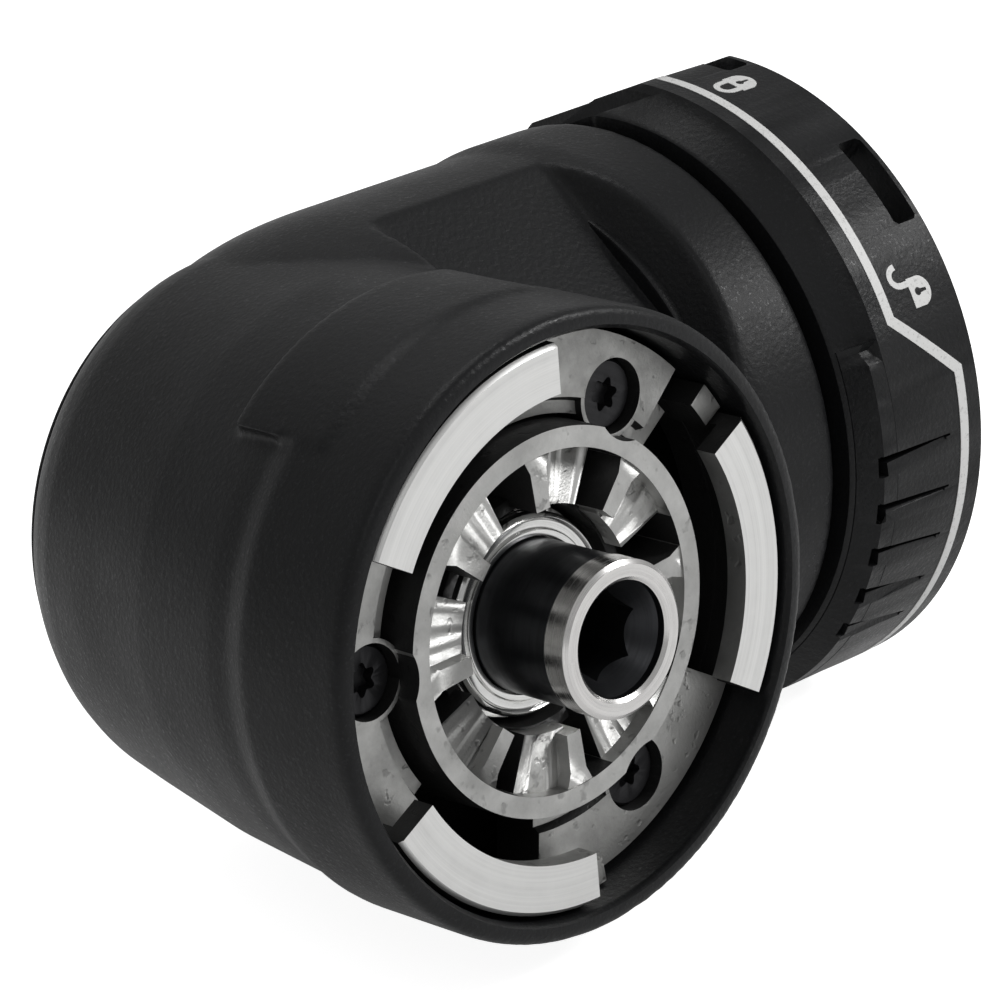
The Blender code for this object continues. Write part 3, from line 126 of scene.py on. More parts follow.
def trace(name: str, points: Sequence[Point3], closed: bool) -> Piece:
    """Draw a line point by point and stay in edit mode with all of it selected.

    Args:
        name: The new piece's name.
        points: Corners of the line, in millimetres.
        closed: Whether to fill the line with one face.

    Returns:
        The new piece.
    """
    deselect_all()
    bpy.ops.mesh.primitive_plane_add(size=MM)
    piece = bpy.context.object
    piece.name = name
    bpy.ops.object.mode_set(mode="EDIT")
    bpy.ops.mesh.merge(type="CENTER")
    corners = [Vector(point) * MM for point in points]
    bpy.ops.transform.translate(value=corners[0])
    for here, there in zip(corners, corners[1:]):
        bpy.ops.mesh.extrude_region_move(TRANSFORM_OT_translate={"value": there - here})
    bpy.ops.mesh.select_all(action="SELECT")
    if closed:
        bpy.ops.mesh.edge_face_add()
    return piece


def close_up() -> None:
    """Merge doubled points and point the faces outwards, then leave edit mode."""
    bpy.ops.mesh.select_all(action="SELECT")
    bpy.ops.mesh.remove_doubles(threshold=1e-6)
    bpy.ops.mesh.normals_make_consistent(inside=False)
    bpy.ops.object.mode_set(mode="OBJECT")


def turned(name: str, profile: Sequence[Point2], steps: int = 128, offset: Point2 = (0.0, 0.0)) -> Piece:
    """Turn a profile all the way round.

    Args:
        name: The new piece's name.
        profile: (radius, station) corners. A profile that starts and ends on the axis makes a full solid,
            and any other is closed into a ring.
        steps: Faces round the piece.
        offset: Where the turning axis stands.

    Returns:
        The turned piece, on its own axis.
    """
    on_axis = profile[0][0] == 0 and profile[-1][0] == 0
    corners = [(radius, 0.0, station) for radius, station in profile]
    if not on_axis:
        corners.append(corners[0])
    piece = trace(name, corners, closed=False)
    bpy.ops.mesh.spin(steps=steps, angle=FULL_TURN, center=(0.0, 0.0, 0.0), axis=(0.0, 0.0, 1.0))
    close_up()
    return shift(piece, (*offset, 0.0))


def swept(name: str, profile: Sequence[Point2], start: float, end: float, steps: int = 32) -> Piece:
    """Sweep a closed profile over part of a turn.

    Args:
        name: The new piece's name.
        profile: (radius, station) corners.
        start: First angle, in degrees.
        end: Last angle, in degrees.
        steps: Faces along the sweep.

    Returns:
        The swept piece, closed at both ends.
    """
    middle = math.radians((start + end) / 2)
    span = math.radians(end - start)
    corners = [(radius, 0.0, station) for radius, station in profile]
    piece = trace(name, corners, closed=True)
    bpy.ops.mesh.spin(steps=steps, angle=span, center=(0.0, 0.0, 0.0), axis=(0.0, 0.0, 1.0))
    close_up()
    angles = [math.atan2(vertex.co.y, vertex.co.x) for vertex in piece.data.vertices]
    now = (min(angles) + max(angles)) / 2
    return turn(piece, math.degrees(middle - now))


def extruded(name: str, outline: Sequence[Point2], start: float, end: float) -> Piece:
    """Raise an outline into a straight solid.

    Args:
        name: The new piece's name.
        outline: (x, y) corners.
        start: Station of the first end.
        end: Station of the last end.

    Returns:
        The solid, on its own axis.
    """
    piece = trace(name, [(x, y, start) for x, y in outline], closed=True)
    bpy.ops.mesh.extrude_region_move(TRANSFORM_OT_translate={"value": (0.0, 0.0, (end - start) * MM)})
    close_up()
    return piece


def apply_place(piece: Piece) -> Piece:
    """Write a piece's place into its mesh."""
    activate(piece)
    bpy.ops.object.transform_apply(location=True, rotation=True, scale=True)
    return piece


def shift(piece: Piece, by: Point3) -> Piece:
    """Move a piece, in millimetres."""
    piece.location = Vector(by) * MM
    return apply_place(piece)


def turn(piece: Piece, degrees: float, axis: str = "Z") -> Piece:
    """Turn a piece about one of its own axes."""
    piece.rotation_euler = (0.0, 0.0, 0.0)
    setattr(piece.rotation_euler, axis.lower(), math.radians(degrees))
    return apply_place(piece)


def lay_on(piece: Piece, axis: Axis) -> Piece:
    """Lay a piece on its axis in the frame."""
    piece.matrix_world = axis.matrix()
    return apply_place(piece)


def copied(piece: Piece, name: str) -> Piece:
    """A copy of a piece with its own mesh."""
    activate(piece)
    bpy.ops.object.duplicate(linked=False)
    twin = bpy.context.object
    twin.name = name
    return twin


def apply_modifiers(piece: Piece) -> Piece:
    """Apply all of a piece's modifiers in order."""
    activate(piece)
    for modifier in list(piece.modifiers):
        bpy.ops.object.modifier_apply(modifier=modifier.name)
    return piece


def is_closed(piece: Piece) -> bool:
    """Whether every edge of a piece's mesh has two faces."""
    mesh = bmesh.new()
    mesh.from_mesh(piece.data)
    closed = all(len(edge.link_faces) == 2 for edge in mesh.edges)
    mesh.free()
    return closed


def combine(piece: Piece, operation: Operation, *tools: Piece) -> Piece:
    """Cut or join a piece with others, which are used up.

    Args:
        piece: The piece that stays.
        operation: What is done with each tool.
        tools: The other pieces.

    Returns:
        The piece.
    """
    for tool in tools:
        before = piece.data.copy()
        for solver in ("EXACT", "MANIFOLD"):
            modifier = piece.modifiers.new("combine", "BOOLEAN")
            modifier.operation = operation.value
            modifier.solver = solver
            modifier.object = tool
            apply_modifiers(piece)
            if is_closed(piece):
                break
            LOG.info("%s: the %s solver left %s open", piece.name, solver, tool.name)
            if solver == "EXACT":
                piece.data = before.copy()
        bpy.data.objects.remove(tool, do_unlink=True)
    return piece


def bevelled(piece: Piece, width: float, segments: int = 2, angle: float = 35.0) -> Piece:
    """Round the sharp edges of a piece.

    Args:
        piece: The piece.
        width: Width of the rounding, in millimetres.
        segments: Faces across it.
        angle: Least angle of an edge that counts as sharp, in degrees.

    Returns:
        The piece.
    """
    modifier = piece.modifiers.new("bevel", "BEVEL")
    modifier.width = width * MM
    modifier.segments = segments
    modifier.limit_method = "ANGLE"
    modifier.angle_limit = math.radians(angle)
    modifier.miter_outer = "MITER_ARC"
    return apply_modifiers(piece)


def shaded(piece: Piece, angle: float = 32.0) -> Piece:
    """Shade a piece smooth between faces that meet at less than an angle, with its broad faces kept flat."""
    activate(piece)
    bpy.ops.object.shade_smooth_by_angle(angle=math.radians(angle))
    weighted = piece.modifiers.new("weighted", "WEIGHTED_NORMAL")
    weighted.keep_sharp = True
    return apply_modifiers(piece)


def polar(radius: float, angle: float) -> Point2:
    """A point by radius and angle in degrees."""
    return radius * math.cos(math.radians(angle)), radius * math.sin(math.radians(angle))


def arc(radius: float, start: float, end: float, steps: int) -> list[Point2]:
    """Points along an arc, angles in degrees."""
    return [polar(radius, start + (end - start) * i / steps) for i in range(steps + 1)]


def rounded_profile(start: Point2, corner: Point2, end: Point2, steps: int = 4) -> list[Point2]:
    """Points of a quarter round between two sides.

    Args:
        start: Where it leaves the first side.
        corner: The sharp corner that it takes off.
        end: Where it meets the next side.
        steps: Stretches along it.

    Returns:
        The points, with both ends.
    """
    points = []
    for i in range(steps + 1):
        share = i / steps
        low = [start[k] + (corner[k] - start[k]) * share for k in (0, 1)]
        high = [corner[k] + (end[k] - corner[k]) * share for k in (0, 1)]
        points.append((low[0] + (high[0] - low[0]) * share, low[1] + (high[1] - low[1]) * share))
    return points


def spaced(first: float, count: int) -> list[float]:
    """Evenly spaced angles round a circle."""
    return [first + 360.0 * i / count for i in range(count)]


def ring_profile(inner: float, outer: float, start: float, end: float) -> list[Point2]:
    """The profile of a plain ring."""
    return [(outer, end), (outer, start), (inner, start), (inner, end)]


def rod_profile(radius: float, start: float, end: float) -> list[Point2]:
    """The profile of a plain rod."""
    return [(0.0, start), (radius, start), (radius, end), (0.0, end)]


def hexagon(first: float = 0.0) -> list[Point2]:
    """Corners of the hexagon of a bit, the first one at an angle in degrees."""
    return [polar(HEX_CORNER, angle) for angle in spaced(first, 6)]


# Finishes


class Grain(Enum):
    """Node groups shared by the finishes."""

    MOULDED = "moulded_grain"
    CAST = "cast_mottle"
    TURNED = "turned_lines"


@dataclass(frozen=True)
class NodeWriter:
    """Adds and links nodes in one tree.

    Attributes:
        tree: The node tree that is written.
    """

    tree: bpy.types.NodeTree

    def add(self, kind: str, **settings: object) -> bpy.types.Node:
        """Add a node and set its properties."""
        node = self.tree.nodes.new(kind)
        for key, value in settings.items():
            setattr(node, key, value)
        return node

    def link(self, start: bpy.types.NodeSocket, end: bpy.types.NodeSocket) -> None:
        """Join two sockets."""
        self.tree.links.new(start, end)

    def noise(
        self, vector: bpy.types.NodeSocket, scale: float, detail: float = 2.0, roughness: float = 0.5
    ) -> bpy.types.NodeSocket:
        """A noise value on some coordinates."""
        node = self.add("ShaderNodeTexNoise")
        node.inputs["Scale"].default_value = scale
        node.inputs["Detail"].default_value = detail
        node.inputs["Roughness"].default_value = roughness
        self.link(vector, node.inputs["Vector"])
        return node.outputs["Fac"]

    def math(
        self,
        operation: str,
        first: bpy.types.NodeSocket | float,
        second: bpy.types.NodeSocket | float = 0.0,
        clamp: bool = False,
    ) -> bpy.types.NodeSocket:
        """A math node on two values or sockets."""
        node = self.add("ShaderNodeMath", operation=operation, use_clamp=clamp)
        for socket, value in zip(node.inputs, (first, second)):
            if isinstance(value, (int, float)):
                socket.default_value = value
            else:
                self.link(value, socket)
        return node.outputs[0]

    def spread(
        self,
        value: bpy.types.NodeSocket,
        low: float,
        high: float,
        to_low: float | bpy.types.NodeSocket = 0.0,
        to_high: float | bpy.types.NodeSocket = 1.0,
    ) -> bpy.types.NodeSocket:
        """Map a value from one range to another, held inside it."""
        node = self.add("ShaderNodeMapRange", clamp=True)
        self.link(value, node.inputs["Value"])
        node.inputs["From Min"].default_value = low
        node.inputs["From Max"].default_value = high
        for name, target in (("To Min", to_low), ("To Max", to_high)):
            if isinstance(target, (int, float)):
                node.inputs[name].default_value = target
            else:
                self.link(target, node.inputs[name])
        return node.outputs["Result"]

    def mix(
        self,
        share: bpy.types.NodeSocket,
        first: bpy.types.NodeSocket | Sequence[float],
        second: bpy.types.NodeSocket | Sequence[float],
    ) -> bpy.types.NodeSocket:
        """Mix two colours by a share."""
        node = self.add("ShaderNodeMix", data_type="RGBA")
        self.link(share, node.inputs["Factor"])
        for socket, value in ((node.inputs[6], first), (node.inputs[7], second)):
            if isinstance(value, bpy.types.NodeSocket):
                self.link(value, socket)
            else:
                socket.default_value = (*value, 1.0)
        return node.outputs[2]


def start_group(name: str, values: dict[str, float], outputs: dict[str, str]) -> NodeWriter:
    """Make an empty shader node group.

    Args:
        name: The group's name.
        values: Names and defaults of its number inputs. It also has a Vector input.
        outputs: Names and socket types of its outputs.

    Returns:
        A writer for the group's tree.
    """
    tree = bpy.data.node_groups.new(name, "ShaderNodeTree")
    tree.interface.new_socket("Vector", in_out="INPUT", socket_type="NodeSocketVector")
    for key, value in values.items():
        socket = tree.interface.new_socket(key, in_out="INPUT", socket_type="NodeSocketFloat")
        socket.default_value = value
    for key, kind in outputs.items():
        tree.interface.new_socket(key, in_out="OUTPUT", socket_type=kind)
    return NodeWriter(tree)


def build_moulded_grain() -> bpy.types.NodeTree:
    """The grain of glass-filled plastic: a pebbled skin with tiny bright and dull specks."""
    made = start_group(
        Grain.MOULDED.value,
        {"Grain": 3200.0, "Depth": 0.5},
        {"Speck": "NodeSocketFloat", "Cloud": "NodeSocketFloat", "Height": "NodeSocketFloat"},
    )
    entry = made.add("NodeGroupInput")
    leave = made.add("NodeGroupOutput")
    vector = entry.outputs["Vector"]

    fine = made.add("ShaderNodeTexNoise")
    fine.inputs["Detail"].default_value = 3.0
    fine.inputs["Roughness"].default_value = 0.62
    made.link(vector, fine.inputs["Vector"])
    made.link(entry.outputs["Grain"], fine.inputs["Scale"])

    cells = made.add("ShaderNodeTexVoronoi", feature="F1")
    made.link(vector, cells.inputs["Vector"])
    made.link(made.math("MULTIPLY", entry.outputs["Grain"], 0.55), cells.inputs["Scale"])

    cloud = made.noise(vector, 70.0, 3.0, 0.55)
    pebble = made.spread(cells.outputs["Distance"], 0.0, 0.9, 1.0, 0.0)
    skin = made.math("MULTIPLY", fine.outputs["Fac"], 0.65)
    height = made.math("ADD", skin, made.math("MULTIPLY", pebble, 0.35))
    made.link(made.spread(fine.outputs["Fac"], 0.56, 0.70), leave.inputs["Speck"])
    made.link(made.spread(cloud, 0.35, 0.68), leave.inputs["Cloud"])
    made.link(made.math("MULTIPLY", height, entry.outputs["Depth"]), leave.inputs["Height"])
    return made.tree


def build_cast_mottle() -> bpy.types.NodeTree:
    """The skin of a die casting: soft stains, a fine grain and small pits."""
    made = start_group(
        Grain.CAST.value,
        {"Stain Scale": 260.0, "Pit Scale": 900.0},
        {"Stain": "NodeSocketFloat", "Pits": "NodeSocketFloat", "Height": "NodeSocketFloat"},
    )
    entry = made.add("NodeGroupInput")
    leave = made.add("NodeGroupOutput")
    vector = entry.outputs["Vector"]

    stain = made.add("ShaderNodeTexNoise")
    stain.inputs["Detail"].default_value = 5.0
    stain.inputs["Roughness"].default_value = 0.65
    made.link(vector, stain.inputs["Vector"])
    made.link(entry.outputs["Stain Scale"], stain.inputs["Scale"])

    pits = made.add("ShaderNodeTexNoise")
    pits.inputs["Detail"].default_value = 2.0
    made.link(vector, pits.inputs["Vector"])
    made.link(entry.outputs["Pit Scale"], pits.inputs["Scale"])
    pit_mask = made.spread(pits.outputs["Fac"], 0.62, 0.72)

    grain = made.noise(vector, 4200.0, 2.0)
    height = made.math("SUBTRACT", made.math("MULTIPLY", grain, 0.5), pit_mask)
    made.link(made.spread(stain.outputs["Fac"], 0.33, 0.70), leave.inputs["Stain"])
    made.link(pit_mask, leave.inputs["Pits"])
    made.link(height, leave.inputs["Height"])
    return made.tree


def build_turned_lines() -> bpy.types.NodeTree:
    """Tool marks that run round the piece's axis, which is the local Z of the given coordinates."""
    made = start_group(
        Grain.TURNED.value,
        {"Lines": 6000.0, "Streak": 0.35},
        {"Lines": "NodeSocketFloat", "Height": "NodeSocketFloat"},
    )
    entry = made.add("NodeGroupInput")
    leave = made.add("NodeGroupOutput")
    split = made.add("ShaderNodeSeparateXYZ")
    made.link(entry.outputs["Vector"], split.inputs["Vector"])
    squares = [made.math("POWER", split.outputs[name], 2.0) for name in ("X", "Y")]
    radius = made.math("SQRT", made.math("ADD", *squares))
    angle = made.math("ARCTAN2", split.outputs["Y"], split.outputs["X"])
    place = made.add("ShaderNodeCombineXYZ")
    made.link(made.math("MULTIPLY", radius, entry.outputs["Lines"]), place.inputs["X"])
    made.link(made.math("MULTIPLY", split.outputs["Z"], entry.outputs["Lines"]), place.inputs["Y"])
    made.link(made.math("MULTIPLY", angle, entry.outputs["Streak"]), place.inputs["Z"])
    lines = made.noise(place.outputs["Vector"], 1.0, 3.0, 0.7)
    made.link(made.spread(lines, 0.3, 0.7), leave.inputs["Lines"])
    made.link(lines, leave.inputs["Height"])
    return made.tree


def place_group(
    made: NodeWriter, grain: Grain, vector: bpy.types.NodeSocket, **values: float
) -> bpy.types.Node:
    """Place a node group and set its inputs by name, with underscores for spaces."""
    node = made.add("ShaderNodeGroup", node_tree=bpy.data.node_groups[grain.value])
    made.link(vector, node.inputs["Vector"])
    for key, value in values.items():
        node.inputs[key.replace("_", " ")].default_value = value
    return node


@dataclass(frozen=True)
class Finish:
    """What every finish has.

    Attributes:
        name: The material's name.
        slot: The record's material slot that it belongs to.
        colour: Linear base colour.
        roughness: Middle roughness.
    """

    name: str
    slot: str
    colour: Point3
    roughness: float

    def material(self) -> bpy.types.Material:
        """The material, made on first use."""
        made = bpy.data.materials.get(self.name)
        if made is None:
            made = bpy.data.materials.new(self.name)
            made.use_nodes = True
            writer = NodeWriter(made.node_tree)
            shader = made.node_tree.nodes["Principled BSDF"]
            shader.inputs["Base Color"].default_value = (*self.colour, 1.0)
            shader.inputs["Roughness"].default_value = self.roughness
            made.diffuse_color = (*self.colour, 1.0)
            self.dress(writer, shader)
        return made

    def dress(self, made: NodeWriter, shader: bpy.types.Node) -> None:
        """Add this finish's nodes."""
        raise NotImplementedError

    def tint(self, gain: float) -> Point3:
        """The base colour made lighter or darker."""
        return tuple(min(1.0, channel * gain) for channel in self.colour)


def object_coordinates(made: NodeWriter, axis: Axis | None = None) -> bpy.types.NodeSocket:
    """Object coordinates, laid on one of the axes where one is given."""
    source = made.add("ShaderNodeTexCoord").outputs["Object"]
    if axis is None:
        return source
    mapping = made.add("ShaderNodeMapping", vector_type="TEXTURE")
    mapping.inputs["Location"].default_value = CROSSING
    mapping.inputs["Rotation"].default_value = Matrix(axis.value).to_euler()
    made.link(source, mapping.inputs["Vector"])
    return mapping.outputs["Vector"]


def add_bump(made: NodeWriter, shader: bpy.types.Node, height: bpy.types.NodeSocket, depth: float) -> None:
    """Drive the shader's normal by a height of so many millimetres."""
    bump = made.add("ShaderNodeBump")
    bump.inputs["Strength"].default_value = 1.0
    bump.inputs["Distance"].default_value = depth * MM
    made.link(height, bump.inputs["Height"])
    made.link(bump.outputs["Normal"], shader.inputs["Normal"])


@dataclass(frozen=True)
class MouldedFinish(Finish):
    """Glass-filled moulded plastic.

    Attributes:
        grain: Grain cells per metre.
        depth: Height of the grain, in millimetres.
        shine: How strongly the surface mirrors, 0.5 being plain plastic.
    """

    grain: float = 3200.0
    depth: float = 0.05
    shine: float = 0.22

    def dress(self, made: NodeWriter, shader: bpy.types.Node) -> None:
        """Pebbled grain, cloudy colour and specks that catch the light."""
        group = place_group(made, Grain.MOULDED, object_coordinates(made), Grain=self.grain, Depth=1.0)
        colour = made.mix(group.outputs["Cloud"], self.tint(0.8), self.tint(1.25))
        made.link(made.mix(group.outputs["Speck"], colour, self.tint(2.1)), shader.inputs["Base Color"])
        rough = made.spread(group.outputs["Cloud"], 0.0, 1.0, self.roughness + 0.05, self.roughness - 0.05)
        sparkle = made.math("MULTIPLY", group.outputs["Speck"], -0.16)
        made.link(made.math("ADD", rough, sparkle, clamp=True), shader.inputs["Roughness"])
        shader.inputs["Specular IOR Level"].default_value = self.shine
        add_bump(made, shader, group.outputs["Height"], self.depth)


@dataclass(frozen=True)
class CastFinish(Finish):
    """Die-cast metal.

    Attributes:
        depth: Height of the grain and pits, in millimetres.
        metallic: How metallic it is.
        stain: How much darker its stains are.
    """

    depth: float = 0.04
    metallic: float = 0.9
    stain: float = 0.62

    def dress(self, made: NodeWriter, shader: bpy.types.Node) -> None:
        """Stained, pitted casting skin."""
        group = place_group(made, Grain.CAST, object_coordinates(made))
        colour = made.mix(group.outputs["Stain"], self.tint(self.stain), self.tint(1.12))
        made.link(made.mix(group.outputs["Pits"], colour, self.tint(0.7)), shader.inputs["Base Color"])
        rough = made.spread(group.outputs["Stain"], 0.0, 1.0, self.roughness + 0.14, self.roughness - 0.06)
        made.link(rough, shader.inputs["Roughness"])
        shader.inputs["Metallic"].default_value = self.metallic
        add_bump(made, shader, group.outputs["Height"], self.depth)


@dataclass(frozen=True)
class TurnedFinish(Finish):
    """Turned or ground metal with tool marks round one of the axes.

    Attributes:
        axis: The axis that the marks run round.
        lines: Marks per metre.
        depth: Height of the marks, in millimetres.
        metallic: How metallic it is.
        stain: How much darker its stains are.
    """

    axis: Axis = Axis.OUTPUT
    lines: float = 6000.0
    depth: float = 0.006
    metallic: float = 1.0
    stain: float = 0.85

    def dress(self, made: NodeWriter, shader: bpy.types.Node) -> None:
        """Fine rings of tool marks over a faint stain."""
        vector = object_coordinates(made, self.axis)
        marks = place_group(made, Grain.TURNED, vector, Lines=self.lines)
        stains = place_group(made, Grain.CAST, vector, Stain_Scale=420.0)
        colour = made.mix(stains.outputs["Stain"], self.tint(self.stain), self.tint(1.05))
        made.link(made.mix(marks.outputs["Lines"], colour, self.tint(1.15)), shader.inputs["Base Color"])
        rough = made.spread(marks.outputs["Lines"], 0.0, 1.0, self.roughness + 0.07, self.roughness - 0.05)
        made.link(rough, shader.inputs["Roughness"])
        shader.inputs["Metallic"].default_value = self.metallic
        add_bump(made, shader, marks.outputs["Height"], self.depth)


@dataclass(frozen=True)
class PrintFinish(Finish):
    """Printed ink."""

    def dress(self, made: NodeWriter, shader: bpy.types.Node) -> None:
        """Ink with thin spots where the grain below shows."""
        group = place_group(made, Grain.MOULDED, object_coordinates(made), Grain=2600.0, Depth=1.0)
        made.link(made.mix(group.outputs["Speck"], self.colour, self.tint(0.72)), shader.inputs["Base Color"])
        add_bump(made, shader, group.outputs["Height"], 0.02)


NYLON = MouldedFinish("housing_nylon", "black_nylon", (0.008, 0.0083, 0.009), 0.42)
# A near-black, dull copy of the nylon: painted shade for the bulkhead at the floor of the recess
PAINTED_SHADE_NYLON = MouldedFinish("painted_shade_nylon", "black_nylon", (0.002, 0.002, 0.002), 0.8, shine=0.03)
RING_NYLON = MouldedFinish("lock_ring_nylon", "ring_nylon", (0.008, 0.0083, 0.009), 0.42, grain=3600.0)
CASTING = CastFinish("flange_casting", "cast_alloy", (0.42, 0.42, 0.41), 0.46, stain=0.8)
HUB_CASTING = CastFinish("hub_casting", "cast_alloy", (0.48, 0.48, 0.47), 0.44, stain=0.85)
# A near-black casting: painted shade on the deep faces of the flange and the hub
PAINTED_SHADE_CASTING = CastFinish("painted_shade_casting", "cast_alloy", (0.02, 0.02, 0.02), 0.5, metallic=0.2)
MACHINED = TurnedFinish("machined_pad", "cast_alloy", (0.68, 0.68, 0.67), 0.42, lines=3000.0, stain=0.95)
BLACK_STEEL = TurnedFinish(
    "black_oxide_steel", "black_steel", (0.030, 0.031, 0.034), 0.34, lines=2500.0, metallic=0.75, stain=0.5
)
BARE_STEEL = TurnedFinish("bare_turned_steel", "bright_steel", (0.62, 0.61, 0.60), 0.24, lines=5000.0)
POLISHED_STEEL = TurnedFinish(
    "polished_steel", "bright_steel", (0.66, 0.66, 0.65), 0.16, lines=4000.0, stain=0.8
)
INPUT_MACHINED = TurnedFinish("input_seat_face", "cast_alloy", (0.72, 0.72, 0.71), 0.36, axis=Axis.INPUT)
INPUT_STEEL = TurnedFinish("input_shaft_steel", "gear_steel", (0.40, 0.40, 0.40), 0.30, axis=Axis.INPUT)
CLAW_STEEL = TurnedFinish("claw_steel", "bright_steel", (0.50, 0.50, 0.50), 0.30, axis=Axis.INPUT)
INPUT_CASTING = CastFinish("input_casting", "cast_alloy", (0.50, 0.50, 0.49), 0.46)
GEAR_STEEL = TurnedFinish("cut_gear_steel", "gear_steel", (0.33, 0.33, 0.34), 0.34)
SPRING_STEEL = TurnedFinish("spring_steel", "spring_steel", (0.28, 0.28, 0.30), 0.34)
BRONZE = TurnedFinish("sintered_bronze", "bronze", (0.55, 0.36, 0.18), 0.42, stain=0.7)
MAGNET = TurnedFinish("plated_magnet", "magnet", (0.45, 0.45, 0.47), 0.25)
SEAL_RUBBER = MouldedFinish("seal_rubber", "rubber", (0.02, 0.02, 0.02), 0.75, grain=5000.0, depth=0.02)
SCREW_STEEL = TurnedFinish(
    "screw_steel", "black_steel", (0.022, 0.022, 0.024), 0.36, lines=2500.0, metallic=0.6, stain=0.6
)
PRINT = PrintFinish("white_print", "ring_nylon", (0.86, 0.86, 0.85), 0.5)


def dress(piece: Piece, *finishes: Finish) -> Piece:
    """Give a piece its finishes, the first one on every face."""
    piece.data.materials.clear()
    for finish in finishes:
        piece.data.materials.append(finish.material())
    return piece


def dress_faces(piece: Piece, index: int, wanted: Callable[[bpy.types.MeshPolygon], bool]) -> None:
    """Give the wanted faces of a piece another one of its finishes."""
    for face in piece.data.polygons:
        if wanted(face):
            face.material_index = index


def install(piece: Piece, axis: Axis, body: Body, finish: Finish, *nodes: str) -> Piece:
    """Lay a finished piece on its axis, let it ride on its body and stand for its solids.

    Args:
        piece: The piece, on its own axis, already dressed.
        axis: The axis it is laid on.
        body: The body it rides on.
        finish: Not used.
        nodes: The solids it stands for.

    Returns:
        The piece.
    """
    lay_on(piece, axis)
    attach(piece, body.value)
    if nodes:
        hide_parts(*nodes)
    LOG.info("%s rides on %s with %d faces", piece.name, body.value, len(piece.data.polygons))
    return piece


# Sub-assemblies


@dataclass
class Housing:
    """The moulded shell: a drum, a neck and the shroud round the output face."""

    rim_front: float = 36.0
    rim_outer: float = 25.0
    rim_face: float = 24.1
    rim_round: float = 0.9
    rim_inner: float = 23.2
    rim_bevel: float = 0.35
    shroud_back: float = 25.0
    shroud_foot: float = 22.0
    shroud_foot_radius: float = 24.0
    lip_radius: float = 25.3
    lip_inner: float = 20.0
    lip_front: float = 28.0
    lip_back: float = 17.5
    lip_slope: Point2 = (1.4, 0.6)
    lip_angles: Point2 = (76.0, 133.0)
    drum_sections: tuple[tuple[float, float, float], ...] = (
        (23.0, 24.2, 0.0),
        (20.0, 24.0, 0.0),
        (10.0, 24.0, 1.6),
        (-1.0, 23.3, 3.4),
        (-6.0, 22.9, 4.2),
        (-8.0, 22.4, 4.5),
        (-9.7, 21.7, 4.8),
        (-11.0, 20.75, 5.0),
    )
    neck_radius: float = 25.0
    neck_round: float = 14.0
    neck_start: float = -3.0
    neck_start_radius: float = 21.5
    neck_curve: float = 2.2
    neck_steps: int = 10
    panel_start: float = 11.3
    panel_end: float = 31.0
    panel_distance: float = 20.7
    panel_angles: tuple[float, ...] = (41.0, 139.0)
    collar_start: float = 33.5
    collar_radius: float = 25.4
    collar_face: float = 40.5
    collar_edge: float = 0.5
    sleeve_radius: float = 22.2
    sleeve_end: float = 49.5
    bore_radius: float = 11.0
    bore_floor: float = 30.7
    bulkhead: float = 26.3
    slope: tuple[Point2, Point2] = ((26.2, 11.0), (37.0, 25.6))
    voxel: float = 0.42
    soften_share: float = 0.6
    soften_rounds: int = 4
    kept_share: float = 0.35

    def drum(self) -> Piece:
        """The drum, drawn out backwards from a disc, section by section."""
        deselect_all()
        station, radius, centre = self.drum_sections[0]
        bpy.ops.mesh.primitive_circle_add(
            vertices=128, radius=radius * MM, fill_type="NGON", location=(centre * MM, 0.0, station * MM)
        )
        piece = bpy.context.object
        apply_place(piece)
        bpy.ops.object.mode_set(mode="EDIT")
        bpy.ops.mesh.select_all(action="SELECT")
        for next_station, next_radius, next_centre in self.drum_sections[1:]:
            move = ((next_centre - centre) * MM, 0.0, (next_station - station) * MM)
            bpy.ops.mesh.extrude_region_move(TRANSFORM_OT_translate={"value": move})
            size = next_radius / radius
            pivot = (next_centre * MM, 0.0, next_station * MM)
            bpy.ops.transform.resize(value=(size, size, 1.0), center_override=pivot)
            station, radius, centre = next_station, next_radius, next_centre
        close_up()
        return piece

    def neck(self) -> Piece:
        """The neck, turned about the input axis and given back on the output axis's own axes."""
        profile = [
            (0.0, self.collar_face),
            (self.collar_radius - self.collar_edge, self.collar_face),
            (self.collar_radius, self.collar_face - self.collar_edge),
            (self.collar_radius, self.collar_start),
            (self.neck_radius, self.panel_end),
        ]
        for i in range(self.neck_steps + 1):
            share = i / self.neck_steps
            station = self.neck_round + (self.neck_start - self.neck_round) * share
            drop = (self.neck_radius - self.neck_start_radius) * share**self.neck_curve
            profile.append((self.neck_radius - drop, station))
        profile.append((0.0, self.neck_start))
        return self.across(turned("neck", profile))

    def across(self, piece: Piece) -> Piece:
        """Lay a piece drawn on the input axis across the output axis."""
        piece.matrix_world = Matrix(Axis.OUTPUT.value).to_4x4().inverted() @ Matrix(Axis.INPUT.value).to_4x4()
        return apply_place(piece)

    def panel(self, angle: float) -> Piece:
        """The cutter of a flat side panel, with the slope that leads up to the collar."""
        reach = 2 * self.neck_radius
        rise = (reach - self.collar_radius) * (self.collar_start - self.panel_end)
        rise /= self.collar_radius - self.panel_distance
        outline = [
            (self.panel_distance, self.panel_start),
            (self.panel_distance, self.panel_end),
            (self.collar_radius, self.collar_start),
            (reach, self.collar_start + rise),
            (reach, self.panel_start),
        ]
        piece = extruded("panel", outline, -reach, reach)
        turn(piece, 90.0, "X")
        return self.across(turn(piece, angle))

    def back_slope(self) -> Piece:
        """The cutter that keeps the neck's back behind the cover's plane and slopes up to the collar."""
        reach = 3 * self.neck_radius
        (x0, y0), (x1, y1) = self.slope
        outline = [(-reach, y0), (x0, y0), (x1, y1), (x1, reach), (-reach, reach)]
        # The outline is drawn in x and y of the frame, and the output axis's own axes hold y as minus z
        return turn(extruded("slope", outline, -reach, reach), -90.0, "X")

